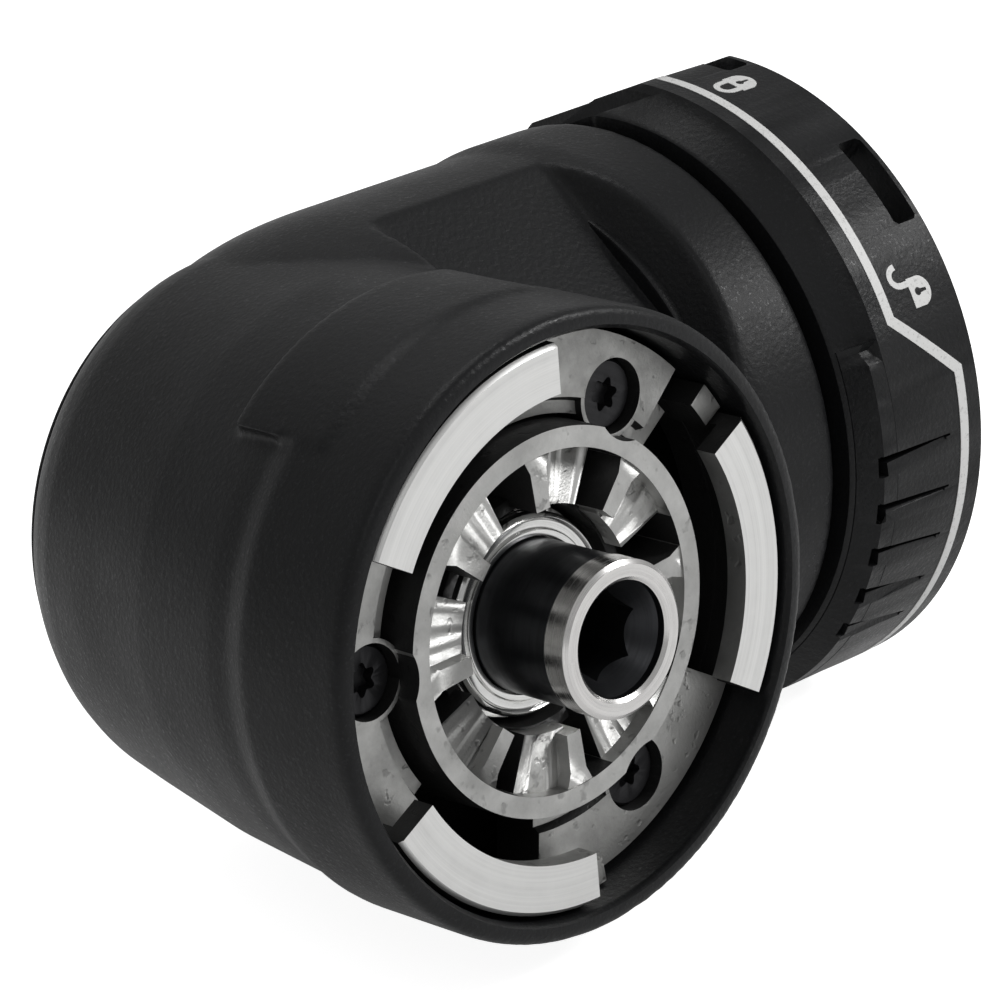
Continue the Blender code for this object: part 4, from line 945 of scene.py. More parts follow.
    def shroud(self) -> Piece:
        """The round wall, with a soft foot where it meets the drum."""
        profile = [(0.0, self.rim_front), (self.rim_face, self.rim_front)]
        profile += rounded_profile(
            (self.rim_face, self.rim_front),
            (self.rim_outer, self.rim_front),
            (self.rim_outer, self.rim_front - self.rim_round),
        )[1:]
        profile.append((self.rim_outer, self.shroud_back))
        profile += [(self.shroud_foot_radius, self.shroud_foot), (0.0, self.shroud_foot)]
        return turned("shroud", profile)

    def lip(self) -> Piece:
        """The part of the shroud that reaches further back, up on the left."""
        profile = [
            (self.lip_radius, self.lip_front),
            (self.lip_radius, self.lip_back + self.lip_slope[1]),
            (self.lip_radius - self.lip_slope[0], self.lip_back),
            (self.lip_inner, self.lip_back),
            (self.lip_inner, self.lip_front),
        ]
        return swept("lip", profile, *self.lip_angles, 48)

    def smooth_skin(self, piece: Piece) -> Piece:
        """Melt the joined solids into one moulded skin with soft inner corners."""
        remesh = piece.modifiers.new("melt", "REMESH")
        remesh.mode = "VOXEL"
        remesh.voxel_size = self.voxel * MM
        smooth = piece.modifiers.new("soften", "SMOOTH")
        smooth.factor = self.soften_share
        smooth.iterations = self.soften_rounds
        thin = piece.modifiers.new("thin", "DECIMATE")
        thin.ratio = self.kept_share
        return apply_modifiers(piece)

    def build(self) -> Piece:
        """The whole shell, on the output axis.

        Returns:
            The shell, riding on the housing body.
        """
        piece = combine(self.drum(), Operation.JOIN, self.neck())
        combine(piece, Operation.CUT, *[self.panel(angle) for angle in self.panel_angles])
        combine(piece, Operation.CUT, self.back_slope())
        combine(piece, Operation.JOIN, self.shroud(), self.lip())
        self.smooth_skin(piece)
        mouth = self.rim_inner + self.rim_bevel
        recess = [
            (0.0, self.rim_front + 5.0),
            (mouth, self.rim_front + 5.0),
            (mouth, self.rim_front - 0.05),
            (self.rim_inner, self.rim_front - 0.5),
            (self.rim_inner, self.bulkhead),
            (0.0, self.bulkhead),
        ]
        combine(piece, Operation.CUT, turned("recess", recess))
        piece.name = "housing_shell"
        shaded(piece, 40.0)
        # The bulkhead at the floor of the recess takes the near-black nylon: painted shade
        dress(piece, NYLON, PAINTED_SHADE_NYLON)
        floor = (self.bulkhead + 0.05) * MM
        wall = (self.rim_inner - 0.1) * MM

        def is_bulkhead(face: bpy.types.MeshPolygon) -> bool:
            """Whether a face belongs to the floor of the recess."""
            return 0.0 < floor - face.center.z < 0.1 * MM and face.center.xy.length < wall

        dress_faces(piece, 1, is_bulkhead)
        return install(piece, Axis.OUTPUT, Body.HOUSING, NYLON, "housing_body")

    def sleeve(self) -> Piece:
        """The plain sleeve on the neck's end that the lock ring turns on."""
        profile = ring_profile(self.bore_radius, self.sleeve_radius, self.bore_floor, self.sleeve_end)
        piece = bevelled(turned("neck_sleeve", profile), 0.4)
        shaded(piece)
        dress(piece, NYLON)
        return install(piece, Axis.INPUT, Body.HOUSING, NYLON)


@dataclass(frozen=True)
class LobedScrew:
    """A flat-headed screw with a six-lobed socket, drawn with its head's top at station 0.

    Attributes:
        head_r: Radius of the head.
        head_h: Height of the head.
        shank_r: Radius of the shank.
        length: Length of the whole screw.
        socket_r: Middle radius of the socket.
        socket_depth: Depth of the socket.
        lobe_height: How far the lobes reach out of the middle radius.
        edge: Width of the slope round the head.
    """

    head_r: float
    head_h: float
    shank_r: float
    length: float
    socket_r: float
    socket_depth: float
    lobe_height: float = 0.22
    edge: float = 0.2

    def build(self, name: str) -> Piece:
        """One screw at the origin, dressed."""
        profile = [
            (0.0, 0.0),
            (self.head_r - self.edge, 0.0),
            (self.head_r, -self.edge),
            (self.head_r, -self.head_h),
            (self.shank_r, -self.head_h),
            (self.shank_r, -self.length),
            (0.0, -self.length),
        ]
        piece = turned(name, profile, 48)
        outline = []
        for angle in spaced(0.0, 72):
            outline.append(polar(self.socket_r + self.lobe_height * math.cos(math.radians(6 * angle)), angle))
        combine(piece, Operation.CUT, extruded("socket", outline, -self.socket_depth, 1.0))
        bevelled(piece, 0.07, 2, 50.0)
        shaded(piece)
        return dress(piece, SCREW_STEEL)

    def spread_out(
        self, names: Sequence[str], places: Sequence[Point3], axis: Axis, flip: bool = False
    ) -> list[Piece]:
        """Put one screw at each place.

        Args:
            names: Names of the solids that the screws stand for.
            places: Where each head's top is, on the axis.
            axis: The axis they are laid on.
            flip: Whether the heads look backwards along the axis.

        Returns:
            The screws.
        """
        first = self.build("screw")
        if flip:
            turn(first, 180.0, "X")
        screws = []
        for index, (name, place) in enumerate(zip(names, places)):
            screw = copied(first, f"{name}_looks")
            turn(screw, 25.0 * index)
            shift(screw, place)
            screws.append(install(screw, axis, Body.HOUSING, SCREW_STEEL, name))
        bpy.data.objects.remove(first, do_unlink=True)
        return screws


@dataclass
class OutputFlange:
    """The cast ring of the output face: three machined pads, three screw bosses and three lugs."""

    back: float = 26.6
    wall_inner: float = 21.4
    wall_outer: float = 22.7
    wall_front: float = 29.5
    pad_back: float = 33.5
    pad_front: float = 35.5
    pad_inner: float = 18.7
    pad_outer: float = 22.7
    pad_centres: tuple[float, ...] = (-1.0, 119.0, 239.0)
    pad_half: float = 30.5
    pad_chamfer: float = 0.35
    lug_front: float = 33.0
    lug_inner: float = 20.9
    lug_outer: float = 22.95
    lug_start: float = 31.5
    lug_end: float = 38.5
    boss_front: float = 31.6
    bosses: tuple[Point3, ...] = ((43.0, 104.0, 15.9), (148.5, 215.0, 16.3), (262.0, 329.0, 16.0))
    boss_step: float = 0.7
    toe_angles: Point2 = (36.5, 44.0)
    toe_inner: float = 15.75
    toe_outer: float = 20.0
    toe_front: float = 30.5
    painted_shade_below: float = 32.0
    screw_circle: float = 18.0
    screw_first: float = 58.0
    screw_head: float = 2.8
    seat_depth: float = 1.6
    screw_boss: float = 3.4
    screw_sink: float = 0.9
    hub_space: float = 15.05
    rim_space: float = 0.3

    def pad(self, centre: float) -> Piece:
        """One pad with the wall that carries it."""
        chamfer = self.pad_chamfer
        profile = [
            (self.pad_inner, self.pad_front),
            (self.pad_outer - chamfer, self.pad_front),
            (self.pad_outer, self.pad_front - chamfer),
            (self.pad_outer, self.back + 0.6),
            (self.wall_inner + 0.1, self.back + 0.6),
            (self.wall_inner + 0.1, self.pad_back),
            (self.pad_inner, self.pad_back),
        ]
        return swept("pad", profile, centre - self.pad_half, centre + self.pad_half, 40)

    def lug(self, centre: float) -> Piece:
        """The lower lug beside a pad."""
        profile = [
            (self.lug_inner, self.lug_front),
            (self.lug_outer, self.lug_front),
            (self.lug_outer, self.back + 0.9),
            (self.lug_inner, self.back + 0.9),
        ]
        return swept("lug", profile, centre + self.lug_start, centre + self.lug_end, 8)

    def boss(self, start: float, end: float, inner: float) -> Piece:
        """One boss plate, with a lower step along its inner edge."""
        step = self.boss_front - self.boss_step
        profile = [
            (inner, step),
            (inner + 1.0, step),
            (inner + 1.0 + self.boss_step / 2, self.boss_front),
            (self.wall_outer - 0.05, self.boss_front),
            (self.wall_outer - 0.05, self.back + 0.3),
            (inner, self.back + 0.3),
        ]
        return swept("boss", profile, start, end, 36)

    def screw_places(self) -> list[Point3]:
        """The tops of the screw heads."""
        front = self.boss_front - self.screw_sink
        return [(*polar(self.screw_circle, angle), front) for angle in spaced(self.screw_first, 3)]

    def build(self) -> Piece:
        """The flange and its screws."""
        wall = ring_profile(self.wall_inner, self.wall_outer, self.back, self.wall_front)
        ring = turned("output_flange_looks", wall)
        for start, end, inner in self.bosses:
            combine(ring, Operation.JOIN, self.boss(start, end, inner))
        toe = ring_profile(self.toe_inner, self.toe_outer, self.back + 0.3, self.toe_front)
        combine(ring, Operation.JOIN, swept("toe", toe, *self.toe_angles, 6))
        hub_space = turned("hub_space", rod_profile(self.hub_space, 0.0, PAST_ALL))
        tower = rod_profile(self.screw_boss, self.back + 0.4, self.boss_front - 0.02)
        for place in self.screw_places():
            combine(ring, Operation.JOIN, turned("tower", tower, 64, place[:2]))
        for centre in self.pad_centres:
            combine(ring, Operation.JOIN, self.pad(centre), self.lug(centre))
        combine(ring, Operation.CUT, hub_space)
        rim = self.wall_outer + self.rim_space
        rim_cut = [(rim, 0.0), (PAST_ALL, 0.0), (PAST_ALL, PAST_ALL), (rim, PAST_ALL)]
        combine(ring, Operation.CUT, turned("rim_space", rim_cut, 160))
        seat = self.boss_front - self.screw_sink - self.seat_depth
        hole = rod_profile(self.screw_head + 0.22, seat, PAST_ALL)
        for place in self.screw_places():
            combine(ring, Operation.CUT, turned("hole", hole, 64, place[:2]))
        bevelled(ring, 0.12, 2, 40.0)
        shaded(ring)
        dress(ring, CASTING, MACHINED, PAINTED_SHADE_CASTING)
        pad_level = (self.pad_front - self.pad_chamfer - 0.15) * MM
        dress_faces(ring, 1, lambda face: face.center.z > pad_level and face.normal.z > 0.5)
        # Faces deep in the flange, behind the pads and bosses, take the near-black casting: painted shade
        deep = self.painted_shade_below * MM
        floor = (self.toe_front - 0.3) * MM
        dress_faces(ring, 2, lambda face: face.center.z < (floor if face.normal.z > 0.5 else deep))
        screw = LobedScrew(
            head_r=self.screw_head, head_h=1.5, shank_r=1.4, length=9.0, socket_r=1.15, socket_depth=0.95
        )
        screw.spread_out([f"flange_screw_{i}" for i in range(1, 4)], self.screw_places(), Axis.OUTPUT)
        return install(ring, Axis.OUTPUT, Body.HOUSING, CASTING, "output_flange")


@dataclass
class BearingCarrier:
    """The ribbed cast hub in the middle of the output face."""

    front: float = 33.6
    outer: float = 15.4
    inner: float = 13.7
    base_outer: float = 15.55
    base_back: float = 24.2
    floor_back: float = 26.9
    floor_front: float = 27.6
    hole: float = 8.9
    rib_count: int = 8
    rib_first: float = 3.0
    rib_width: float = 1.7
    rib_front: float = 33.45
    rib_inner: float = 9.3
    block_inner: float = 9.1
    block_share: float = 0.6
    block_change: float = 0.06
    block_front: float = 32.2
    collar_front: float = 30.4
    painted_shade_below: float = 31.0
    notch_circle: float = 18.55
    notch_radius: float = 3.75
    notch_angles: tuple[float, ...] = (58.0, 178.0, 298.0)

    def rib(self, angle: float) -> Piece:
        """One rib, a little wider at its foot on the ring."""
        half = self.rib_width / 2
        outline = [
            (self.rib_inner, -half * 0.85),
            (self.inner - 1.2, -half),
            (self.inner + 0.4, -half * 1.8),
            (self.inner + 0.4, half * 1.8),
            (self.inner - 1.2, half),
            (self.rib_inner, half * 0.85),
        ]
        return turn(extruded("rib", outline, self.floor_back + 0.2, self.rib_front), angle)

    def block(self, index: int) -> Piece:
        """The block that fills a share of the pocket beside a rib, a little different from rib to rib."""
        pitch = 360.0 / self.rib_count
        rib = self.rib_first + pitch * (index + 1)
        start = rib - pitch * (self.block_share + self.block_change * math.sin(2.4 * index))
        profile = ring_profile(self.block_inner, self.inner + 0.3, self.floor_back + 0.3, self.block_front)
        return swept("block", profile, start, rib + 1.0, 12)

    def collar(self) -> Piece:
        """The inner collar at the foot of the ribs."""
        profile = ring_profile(self.hole, self.rib_inner + 0.6, self.floor_back + 0.1, self.collar_front)
        return turned("collar", profile)

    def build(self) -> Piece:
        """The carrier."""
        profile = [
            (self.inner, self.front),
            (self.outer, self.front),
            (self.base_outer, self.base_back + 2.0),
            (self.base_outer, self.base_back),
            (self.hole, self.base_back),
            (self.hole, self.floor_front),
            (self.inner, self.floor_front),
        ]
        piece = turned("bearing_carrier_looks", profile, 160)
        for index, angle in enumerate(spaced(self.rib_first, self.rib_count)):
            combine(piece, Operation.JOIN, self.rib(angle), self.block(index))
        combine(piece, Operation.JOIN, self.collar())
        notch = rod_profile(self.notch_radius, self.base_back + 1.0, PAST_ALL)
        for angle in self.notch_angles:
            combine(piece, Operation.CUT, turned("notch", notch, 64, polar(self.notch_circle, angle)))
        bevelled(piece, 0.16, 3, 40.0)
        shaded(piece, 38.0)
        dress(piece, HUB_CASTING, PAINTED_SHADE_CASTING)
        # Faces deep among the ribs take the near-black casting: painted shade
        deep = self.painted_shade_below * MM
        dress_faces(piece, 1, lambda face: face.center.z < deep)
        return install(piece, Axis.OUTPUT, Body.HOUSING, HUB_CASTING, "bearing_carrier")


@dataclass
class Spindle:
    """The turning bit holder with its collar."""

    tip: float = 40.5
    tip_radius: float = 6.25
    tip_length: float = 2.4
    tube: float = 6.1
    shoulder: float = 28.2
    shaft: float = 5.75
    shaft_end: float = 8.0
    tail: float = 4.0
    tail_end: float = -11.2
    mouth: float = 4.63
    mouth_depth: float = 0.9
    cone_depth: float = 3.1
    hex_turn: float = 15.0
    hex_depth: float = 11.0
    groove: float = 0.12
    collar_edge: tuple[Point2, ...] = (
        (6.75, 30.5),
        (6.85, 30.15),
        (7.45, 30.15),
        (7.75, 30.45),
        (8.1, 30.1),
        (8.1, 29.3),
        (7.7, 29.2),
        (7.7, 28.75),
    )
    clip_outline: tuple[Point2, ...] = ((7.0, 28.6), (8.5, 28.6), (8.75, 28.2), (8.75, 27.8), (7.0, 27.8))
    clip_angles: Point2 = (-75.0, 195.0)

    def build(self) -> Piece:
        """The spindle: black tube, bare tip band and face, round mouth and hexagonal socket."""
        band = self.tip - self.tip_length
        profile = [
            (0.0, self.tip),
            (self.tip_radius - 0.35, self.tip),
            (self.tip_radius, self.tip - 0.3),
            (self.tip_radius, band + 0.15),
            (self.tip_radius - 0.12, band),
            (self.tube, band - self.groove),
            (self.tube, self.shoulder + 0.6),
            (self.shaft, self.shoulder + 0.2),
            (self.shaft, self.shaft_end),
            (self.tail, self.shaft_end - 0.4),
            (self.tail, self.tail_end),
            (0.0, self.tail_end),
        ]
        piece = turned("output_spindle_looks", profile)
        well = [
            (0.0, self.tip + 1.0),
            (self.mouth + 0.3, self.tip + 1.0),
            (self.mouth + 0.3, self.tip),
            (self.mouth, self.tip - 0.25),
            (self.mouth, self.tip - self.mouth_depth),
            (HEX_FLATS / 2, self.tip - self.cone_depth),
            (0.0, self.tip - self.cone_depth),
        ]
        combine(piece, Operation.CUT, turned("mouth", well))
        top = self.tip - self.mouth_depth + 0.4
        socket = extruded("socket", hexagon(self.hex_turn), self.tip - self.hex_depth, top)
        combine(piece, Operation.CUT, socket)
        shaded(piece, 30.0)
        dress(piece, BLACK_STEEL, BARE_STEEL)
        bare_from = (band - 0.01) * MM
        inside = (self.mouth + 0.05) * MM

        def is_bare(face: bpy.types.MeshPolygon) -> bool:
            """Whether a face belongs to the bare tip."""
            return face.center.z > bare_from and face.center.xy.length > inside

        dress_faces(piece, 1, is_bare)
        return install(piece, Axis.OUTPUT, Body.OUTPUT_TRAIN, BLACK_STEEL, "output_spindle")

    def collar(self) -> Piece:
        """The ground steel ring at the foot of the tube, with a rounded lower ring behind a groove."""
        inner = self.tube + 0.15
        front = self.collar_edge[0][1]
        back = self.collar_edge[-1][1]
        profile = [(inner, front), *self.collar_edge, (inner, back)]
        piece = bevelled(turned("spindle_collar_looks", profile), 0.07)
        shaded(piece)
        dress(piece, POLISHED_STEEL)
        return install(piece, Axis.OUTPUT, Body.OUTPUT_TRAIN, POLISHED_STEEL, "spindle_collar")

    def clip(self) -> Piece:
        """The spring clip that shows as a bright crescent under the collar."""
        piece = bevelled(swept("output_clip_looks", self.clip_outline, *self.clip_angles, 96), 0.08)
        shaded(piece)
        dress(piece, POLISHED_STEEL)
        return install(piece, Axis.OUTPUT, Body.HOUSING, POLISHED_STEEL)


@dataclass(frozen=True)
class PadlockSign:
    """A plain padlock, drawn flat round (0, 0) with its shackle towards the near edge of the ring."""

    body_near: float = 0.1
    body_half: float = 1.3
    bow_centre: float = 1.1
    bow_radius: float = 1.35
    shackle_foot: float = 0.4
    shackle_centre: float = -0.6
    shackle_radius: float = 0.85
    shackle_stretch: float = 1.15
    shackle_width: float = 0.55
    shackle_swing: float = 1.75
    keyhole_centre: float = 0.95
    keyhole_radius: float = 0.36
    keyhole_end: float = 1.95
    keyhole_half: float = 0.13

    def body(self) -> list[Point2]:
        """Outline of the body, with its far side rounded."""
        bow = [(self.bow_centre + x, y) for x, y in arc(self.bow_radius, -75.0, 75.0, 10)]
        return [(self.body_near, -self.body_half), *bow, (self.body_near, self.body_half)]

    def shackle(self, is_open: bool) -> list[Point2]:
        """Middle line of the shackle, shut or swung out to one side."""
        side = -self.shackle_swing if is_open else 0.0
        bow = arc(self.shackle_radius, 90.0, 270.0, 14)
        loop = [(self.shackle_centre + x * self.shackle_stretch, side + y) for x, y in bow]
        loop.insert(0, (self.shackle_foot, loop[0][1]))
        if not is_open:
            loop.append((self.shackle_foot, loop[-1][1]))
        return loop

    def keyhole(self) -> list[Point2]:
        """Outline of the keyhole: a round hole with a slit."""
        hole = [(self.keyhole_centre + x, y) for x, y in arc(self.keyhole_radius, 30.0, 330.0, 12)]
        return [*hole, (self.keyhole_end, -self.keyhole_half), (self.keyhole_end, self.keyhole_half)]


@dataclass
class LockRing:
    """The hand ring of the input side with its print."""

    near: float = 41.7
    near_radius: float = 26.0
    cone_end: float = 44.3
    band_radius: float = 26.9
    step_end: float = 45.2
    radius: float = 28.0
    far: float = 56.0
    edge: float = 0.25
    bore: float = 22.5
    bore_end: float = 45.7
    step_radius: float = 23.9
    skirt_start: float = 51.2
    skirt_radius: float = 25.4
    panel_starts: tuple[float, ...] = (71.0, 251.0)
    panel_span: float = 79.0
    panel_ramp: float = 4.0
    panel_end: float = 52.4
    slots: tuple[float, ...] = (0.0, 45.0, 180.0, 225.0)
    slot_half: float = 9.0
    slot_start: float = 52.6
    slot_end: float = 55.25
    groove_count: int = 5
    groove_first: float = 20.0
    groove_pitch: float = 8.75
    groove_near: float = 43.3
    groove_far: float = 51.8
    slant_first: float = 0.6
    slant_step: float = 0.9
    slit_depth: float = 2.3
    slit_width: float = 0.8
    foot_length: float = 1.9
    ramp_depth: float = 0.4
    ramp_width: float = 2.9
    flat_angle: float = -20.0
    flat_near: float = 24.6
    flat_middle: float = 25.9
    flat_far: float = 25.7
    flat_step: float = 44.7
    back_flat_angle: float = -32.0
    back_flat: float = 24.3
    back_flat_end: float = 51.0
    line_width: float = 1.0
    line_depth: float = 3.9
    line_station: float = 47.35
    line_far_station: float = 53.6
    ink: float = 0.05
    shut_place: Point2 = (50.5, 14.0)
    open_place: Point2 = (50.6, 66.0)

    def arc_length(self, degrees: float) -> float:
        """Length along the ring's outside for an angle."""
        return math.radians(degrees) * self.radius

    def wrapped(self, name: str, outline: Sequence[Point2], inner: float, outer: float) -> Piece:
        """Raise a flat outline into a solid and wrap it round the ring.

        Args:
            name: The new piece's name.
            outline: (station, arc length) corners.
            inner: Inner radius.
            outer: Outer radius.

        Returns:
            The wrapped solid.
        """
        piece = extruded(name, outline, inner, outer)
        self.strip(piece, outline)
        return self.bend(piece)

    def strip(self, piece: Piece, outline: Sequence[Point2]) -> None:
        """Cut a flat solid into narrow strips, so that it can follow the ring."""
        pitch = self.arc_length(2.0)
        low = min(arc_place for _, arc_place in outline)
        high = max(arc_place for _, arc_place in outline)
        activate(piece)
        bpy.ops.object.mode_set(mode="EDIT")
        for i in range(math.floor(low / pitch) + 1, math.ceil(high / pitch)):
            bpy.ops.mesh.select_all(action="SELECT")
            bpy.ops.mesh.bisect(plane_co=(0.0, (i + 0.013) * pitch * MM, 0.0), plane_no=(0.0, 1.0, 0.0))
        bpy.ops.object.mode_set(mode="OBJECT")

    def bend(self, piece: Piece) -> Piece:
        """Wrap a flat solid round the ring."""
        for vertex in piece.data.vertices:
            station, arc_place, radius = vertex.co
            angle = arc_place / (self.radius * MM)
            vertex.co = (radius * math.cos(angle), radius * math.sin(angle), station)
        activate(piece)
        bpy.ops.object.mode_set(mode="EDIT")
        close_up()
        return piece

    def ribbon(self, points: Sequence[Point2], width: float) -> list[Point2]:
        """The outline of a line of even width.

        Args:
            points: (station, arc length) points along its middle.
            width: Its width.

        Returns:
            Corners of the outline.
        """
        sides: tuple[list[Point2], list[Point2]] = ([], [])
        path = [Vector(point) for point in points]
        for index, point in enumerate(path):
            before = (point - path[index - 1]).normalized() if index else (path[1] - point).normalized()
            after = (path[index + 1] - point).normalized() if index + 1 < len(path) else before
            middle = (before + after).normalized()
            across = Vector((-middle.y, middle.x)) * width / 2 / max(0.5, middle.dot(before))
            sides[0].append(tuple(point + across))
            sides[1].append(tuple(point - across))
        return sides[0] + sides[1][::-1]

    def shell(self) -> Piece:
        """The turned body of the ring."""
        profile = [
            (self.near_radius - 0.3, self.near),
            (self.near_radius, self.near + 0.25),
            (self.band_radius, self.cone_end),
            (self.radius, self.step_end),
            (self.radius, self.far - self.edge),
            (self.radius - self.edge, self.far),
            (self.skirt_radius, self.far),
            (self.skirt_radius, self.skirt_start),
            (self.step_radius, self.skirt_start),
            (self.step_radius, self.bore_end),
            (self.bore, self.bore_end),
            (self.bore, self.near),
        ]
        return turned("lock_ring_looks", profile, 180)

    def panel(self, start: float) -> Piece:
        """A raised grip panel, which rises flush from the near edge and has a soft ramp at its start."""
        outer = self.radius - 0.03
        inner = self.near_radius - 1.0
        profile = [
            (inner, self.near + 0.35),
            (self.near_radius + 0.15, self.near + 0.35),
            (outer, self.cone_end - 0.8),
            (outer, self.panel_end),
            (inner, self.panel_end),
        ]
        piece = swept("panel", profile, start, start + self.panel_span, 60)
        for vertex in piece.data.vertices:
            angle = math.degrees(math.atan2(vertex.co.y, vertex.co.x)) - start
            share = min(1.0, (angle % 360.0) / self.panel_ramp)
            limit = self.band_radius - 0.1 + (outer - self.band_radius + 0.1) * share
            length = vertex.co.xy.length / MM
            if length > limit:
                vertex.co.x *= limit / length
                vertex.co.y *= limit / length
        return piece

    def groove(self, angle: float, slant: float) -> list[Piece]:
        """One grip groove: a narrow deep slit with a foot, and a shallow ramp below it.

        Args:
            angle: Angle of its near end.
            slant: How much further round its far end lies, in degrees.

        Returns:
            The cutters.
        """
        low_near = self.arc_length(angle)
        low_far = self.arc_length(angle + slant)
        top = self.radius + 1.0
        floor = self.radius - self.slit_depth
        shallow = self.radius - self.ramp_depth
        slit = [
            (self.groove_near, low_near),
            (self.groove_far, low_far),
            (self.groove_far, low_far + 0.2),
            (self.groove_near, low_near + self.slit_width),
        ]
        foot = [
            (self.groove_near - 0.1, low_near + 0.1),
            (self.groove_near + self.slit_width, low_near + 0.1),
            (self.groove_near + self.slit_width, low_near + self.foot_length),
            (self.groove_near - 0.1, low_near + self.foot_length),
        ]
        outline = [
            (self.groove_near + 0.2, low_near + 0.1),
            (self.groove_far - 0.5, low_far + 0.1),
            (self.groove_far - 0.5, low_far + 0.5),
            (self.groove_near + 0.2, low_near + self.ramp_width),
        ]
        ramp = extruded("ramp", outline, shallow, top)
        for vertex in ramp.data.vertices:
            share = (vertex.co.x / MM - self.groove_near) / (self.groove_far - self.groove_near)
            edge = low_near + (low_far - low_near) * share
            if vertex.co.z < (shallow + 0.1) * MM and vertex.co.y / MM > edge + 0.3:
                vertex.co.z = (self.radius + 0.05) * MM
        self.strip(ramp, outline)
        self.bend(ramp)
        return [ramp, self.wrapped("slit", slit, floor, top), self.wrapped("foot", foot, floor, top)]

    def flats(self, lift: float) -> list[Piece]:
        """The cutters of the two flats along the ring's top, the second one a step down behind the first.

        Args:
            lift: How far outside the flats the cuts stay.

        Returns:
            The cutters.
        """
        reach = self.radius + 2.0
        start = self.near - 1.0
        end = self.far + 1.0
        first = [
            (self.flat_near + lift, start),
            (self.flat_near + lift, self.flat_step),
            (self.flat_middle + lift, self.flat_step),
            (self.flat_far + lift, end),
            (2 * reach, end),
            (2 * reach, start),
        ]
        second = [
            (self.back_flat + lift, start),
            (self.back_flat + lift, self.back_flat_end),
            (2 * reach, self.back_flat_end),
            (2 * reach, start),
        ]
        cutters = []
        for outline, angle in ((first, self.flat_angle), (second, self.back_flat_angle)):
            cutters.append(turn(turn(extruded("flat", outline, -reach, reach), 90.0, "X"), angle))
        return cutters

    def slot(self, angle: float) -> Piece:
        """The cutter of one slot through the skirt."""
        half = self.arc_length(self.slot_half)
        middle = self.arc_length(angle)
        cut_corner = 0.35
        outline = [
            (self.slot_start + cut_corner, middle - half),
            (self.slot_end - cut_corner, middle - half),
            (self.slot_end, middle - half + cut_corner),
            (self.slot_end, middle + half - cut_corner),
            (self.slot_end - cut_corner, middle + half),
            (self.slot_start + cut_corner, middle + half),
            (self.slot_start, middle + half - cut_corner),
            (self.slot_start, middle - half + cut_corner),
        ]
        return self.wrapped("slot", outline, self.skirt_radius - 1.5, self.radius + 1.0)

    def build(self) -> Piece:
        """The ring."""
        piece = self.shell()
        for start in self.panel_starts:
            combine(piece, Operation.JOIN, self.panel(start))
        for start in self.panel_starts:
            for i in range(self.groove_count):
                angle = start + self.groove_first + self.groove_pitch * i
                slant = self.slant_first + self.slant_step * i
                combine(piece, Operation.CUT, *self.groove(angle, slant))
        for angle in self.slots:
            combine(piece, Operation.CUT, self.slot(angle))
        combine(piece, Operation.CUT, *self.flats(0.0))
        bevelled(piece, 0.14, 2, 40.0)
        shaded(piece, 30.0)
        dress(piece, RING_NYLON)
        return install(piece, Axis.INPUT, Body.LOCK_RING, RING_NYLON, "lock_ring")

    def white_line(self, start: float) -> Piece:
        """Half of the printed line, which runs round the ring and round the far side of a grip panel."""
        near = self.line_station
        far = self.line_far_station
        path = [
            (near, self.arc_length(start - 90.0)),
            (near, self.arc_length(start - 2.0)),
            (far, self.arc_length(start + 10.0)),
            (far, self.arc_length(start + 80.0)),
            (near, self.arc_length(start + 90.0)),
        ]
        outline = self.ribbon(path, self.line_width)
        piece = self.wrapped("white_line", outline, self.radius - self.line_depth, self.radius + self.ink)
        combine(piece, Operation.CUT, *self.flats(self.ink))
        return self.printed(piece)

    def printed(self, piece: Piece) -> Piece:
        """Dress and place a printed piece."""
        shaded(piece)
        dress(piece, PRINT)
        return install(piece, Axis.INPUT, Body.LOCK_RING, PRINT)

    def padlock(self, name: str, place: Point2, is_open: bool) -> Piece:
        """A plain padlock: rounded body with a keyhole, and a shackle that is shut or swung out.

        Args:
            name: The new piece's name.
            place: Station and angle of its middle.
            is_open: Whether the shackle is swung out.

        Returns:
            The print.
        """
        station, angle = place
        middle = self.arc_length(angle)
        inner = self.radius - 0.4
        outer = self.radius + self.ink

        def placed(outline: Sequence[Point2]) -> list[Point2]:
            """An outline of the sign, moved to its place on the ring."""
            return [(station + x, middle + y) for x, y in outline]

        sign = PadlockSign()
        lock = self.wrapped(name, placed(sign.body()), inner, outer)
        loop = self.ribbon(placed(sign.shackle(is_open)), sign.shackle_width)
        combine(lock, Operation.JOIN, self.wrapped("shackle", loop, inner, outer + 0.001))
        keyhole = self.wrapped("keyhole", placed(sign.keyhole()), inner - 1.0, outer + 1.0)
        combine(lock, Operation.CUT, keyhole)
        return self.printed(lock)

    def print_signs(self) -> None:
        """The white line round the ring and the two padlocks on its grip panel."""
        for start in self.panel_starts:
            self.white_line(start)
        self.padlock("padlock_shut", self.shut_place, is_open=False)
        self.padlock("padlock_open", self.open_place, is_open=True)


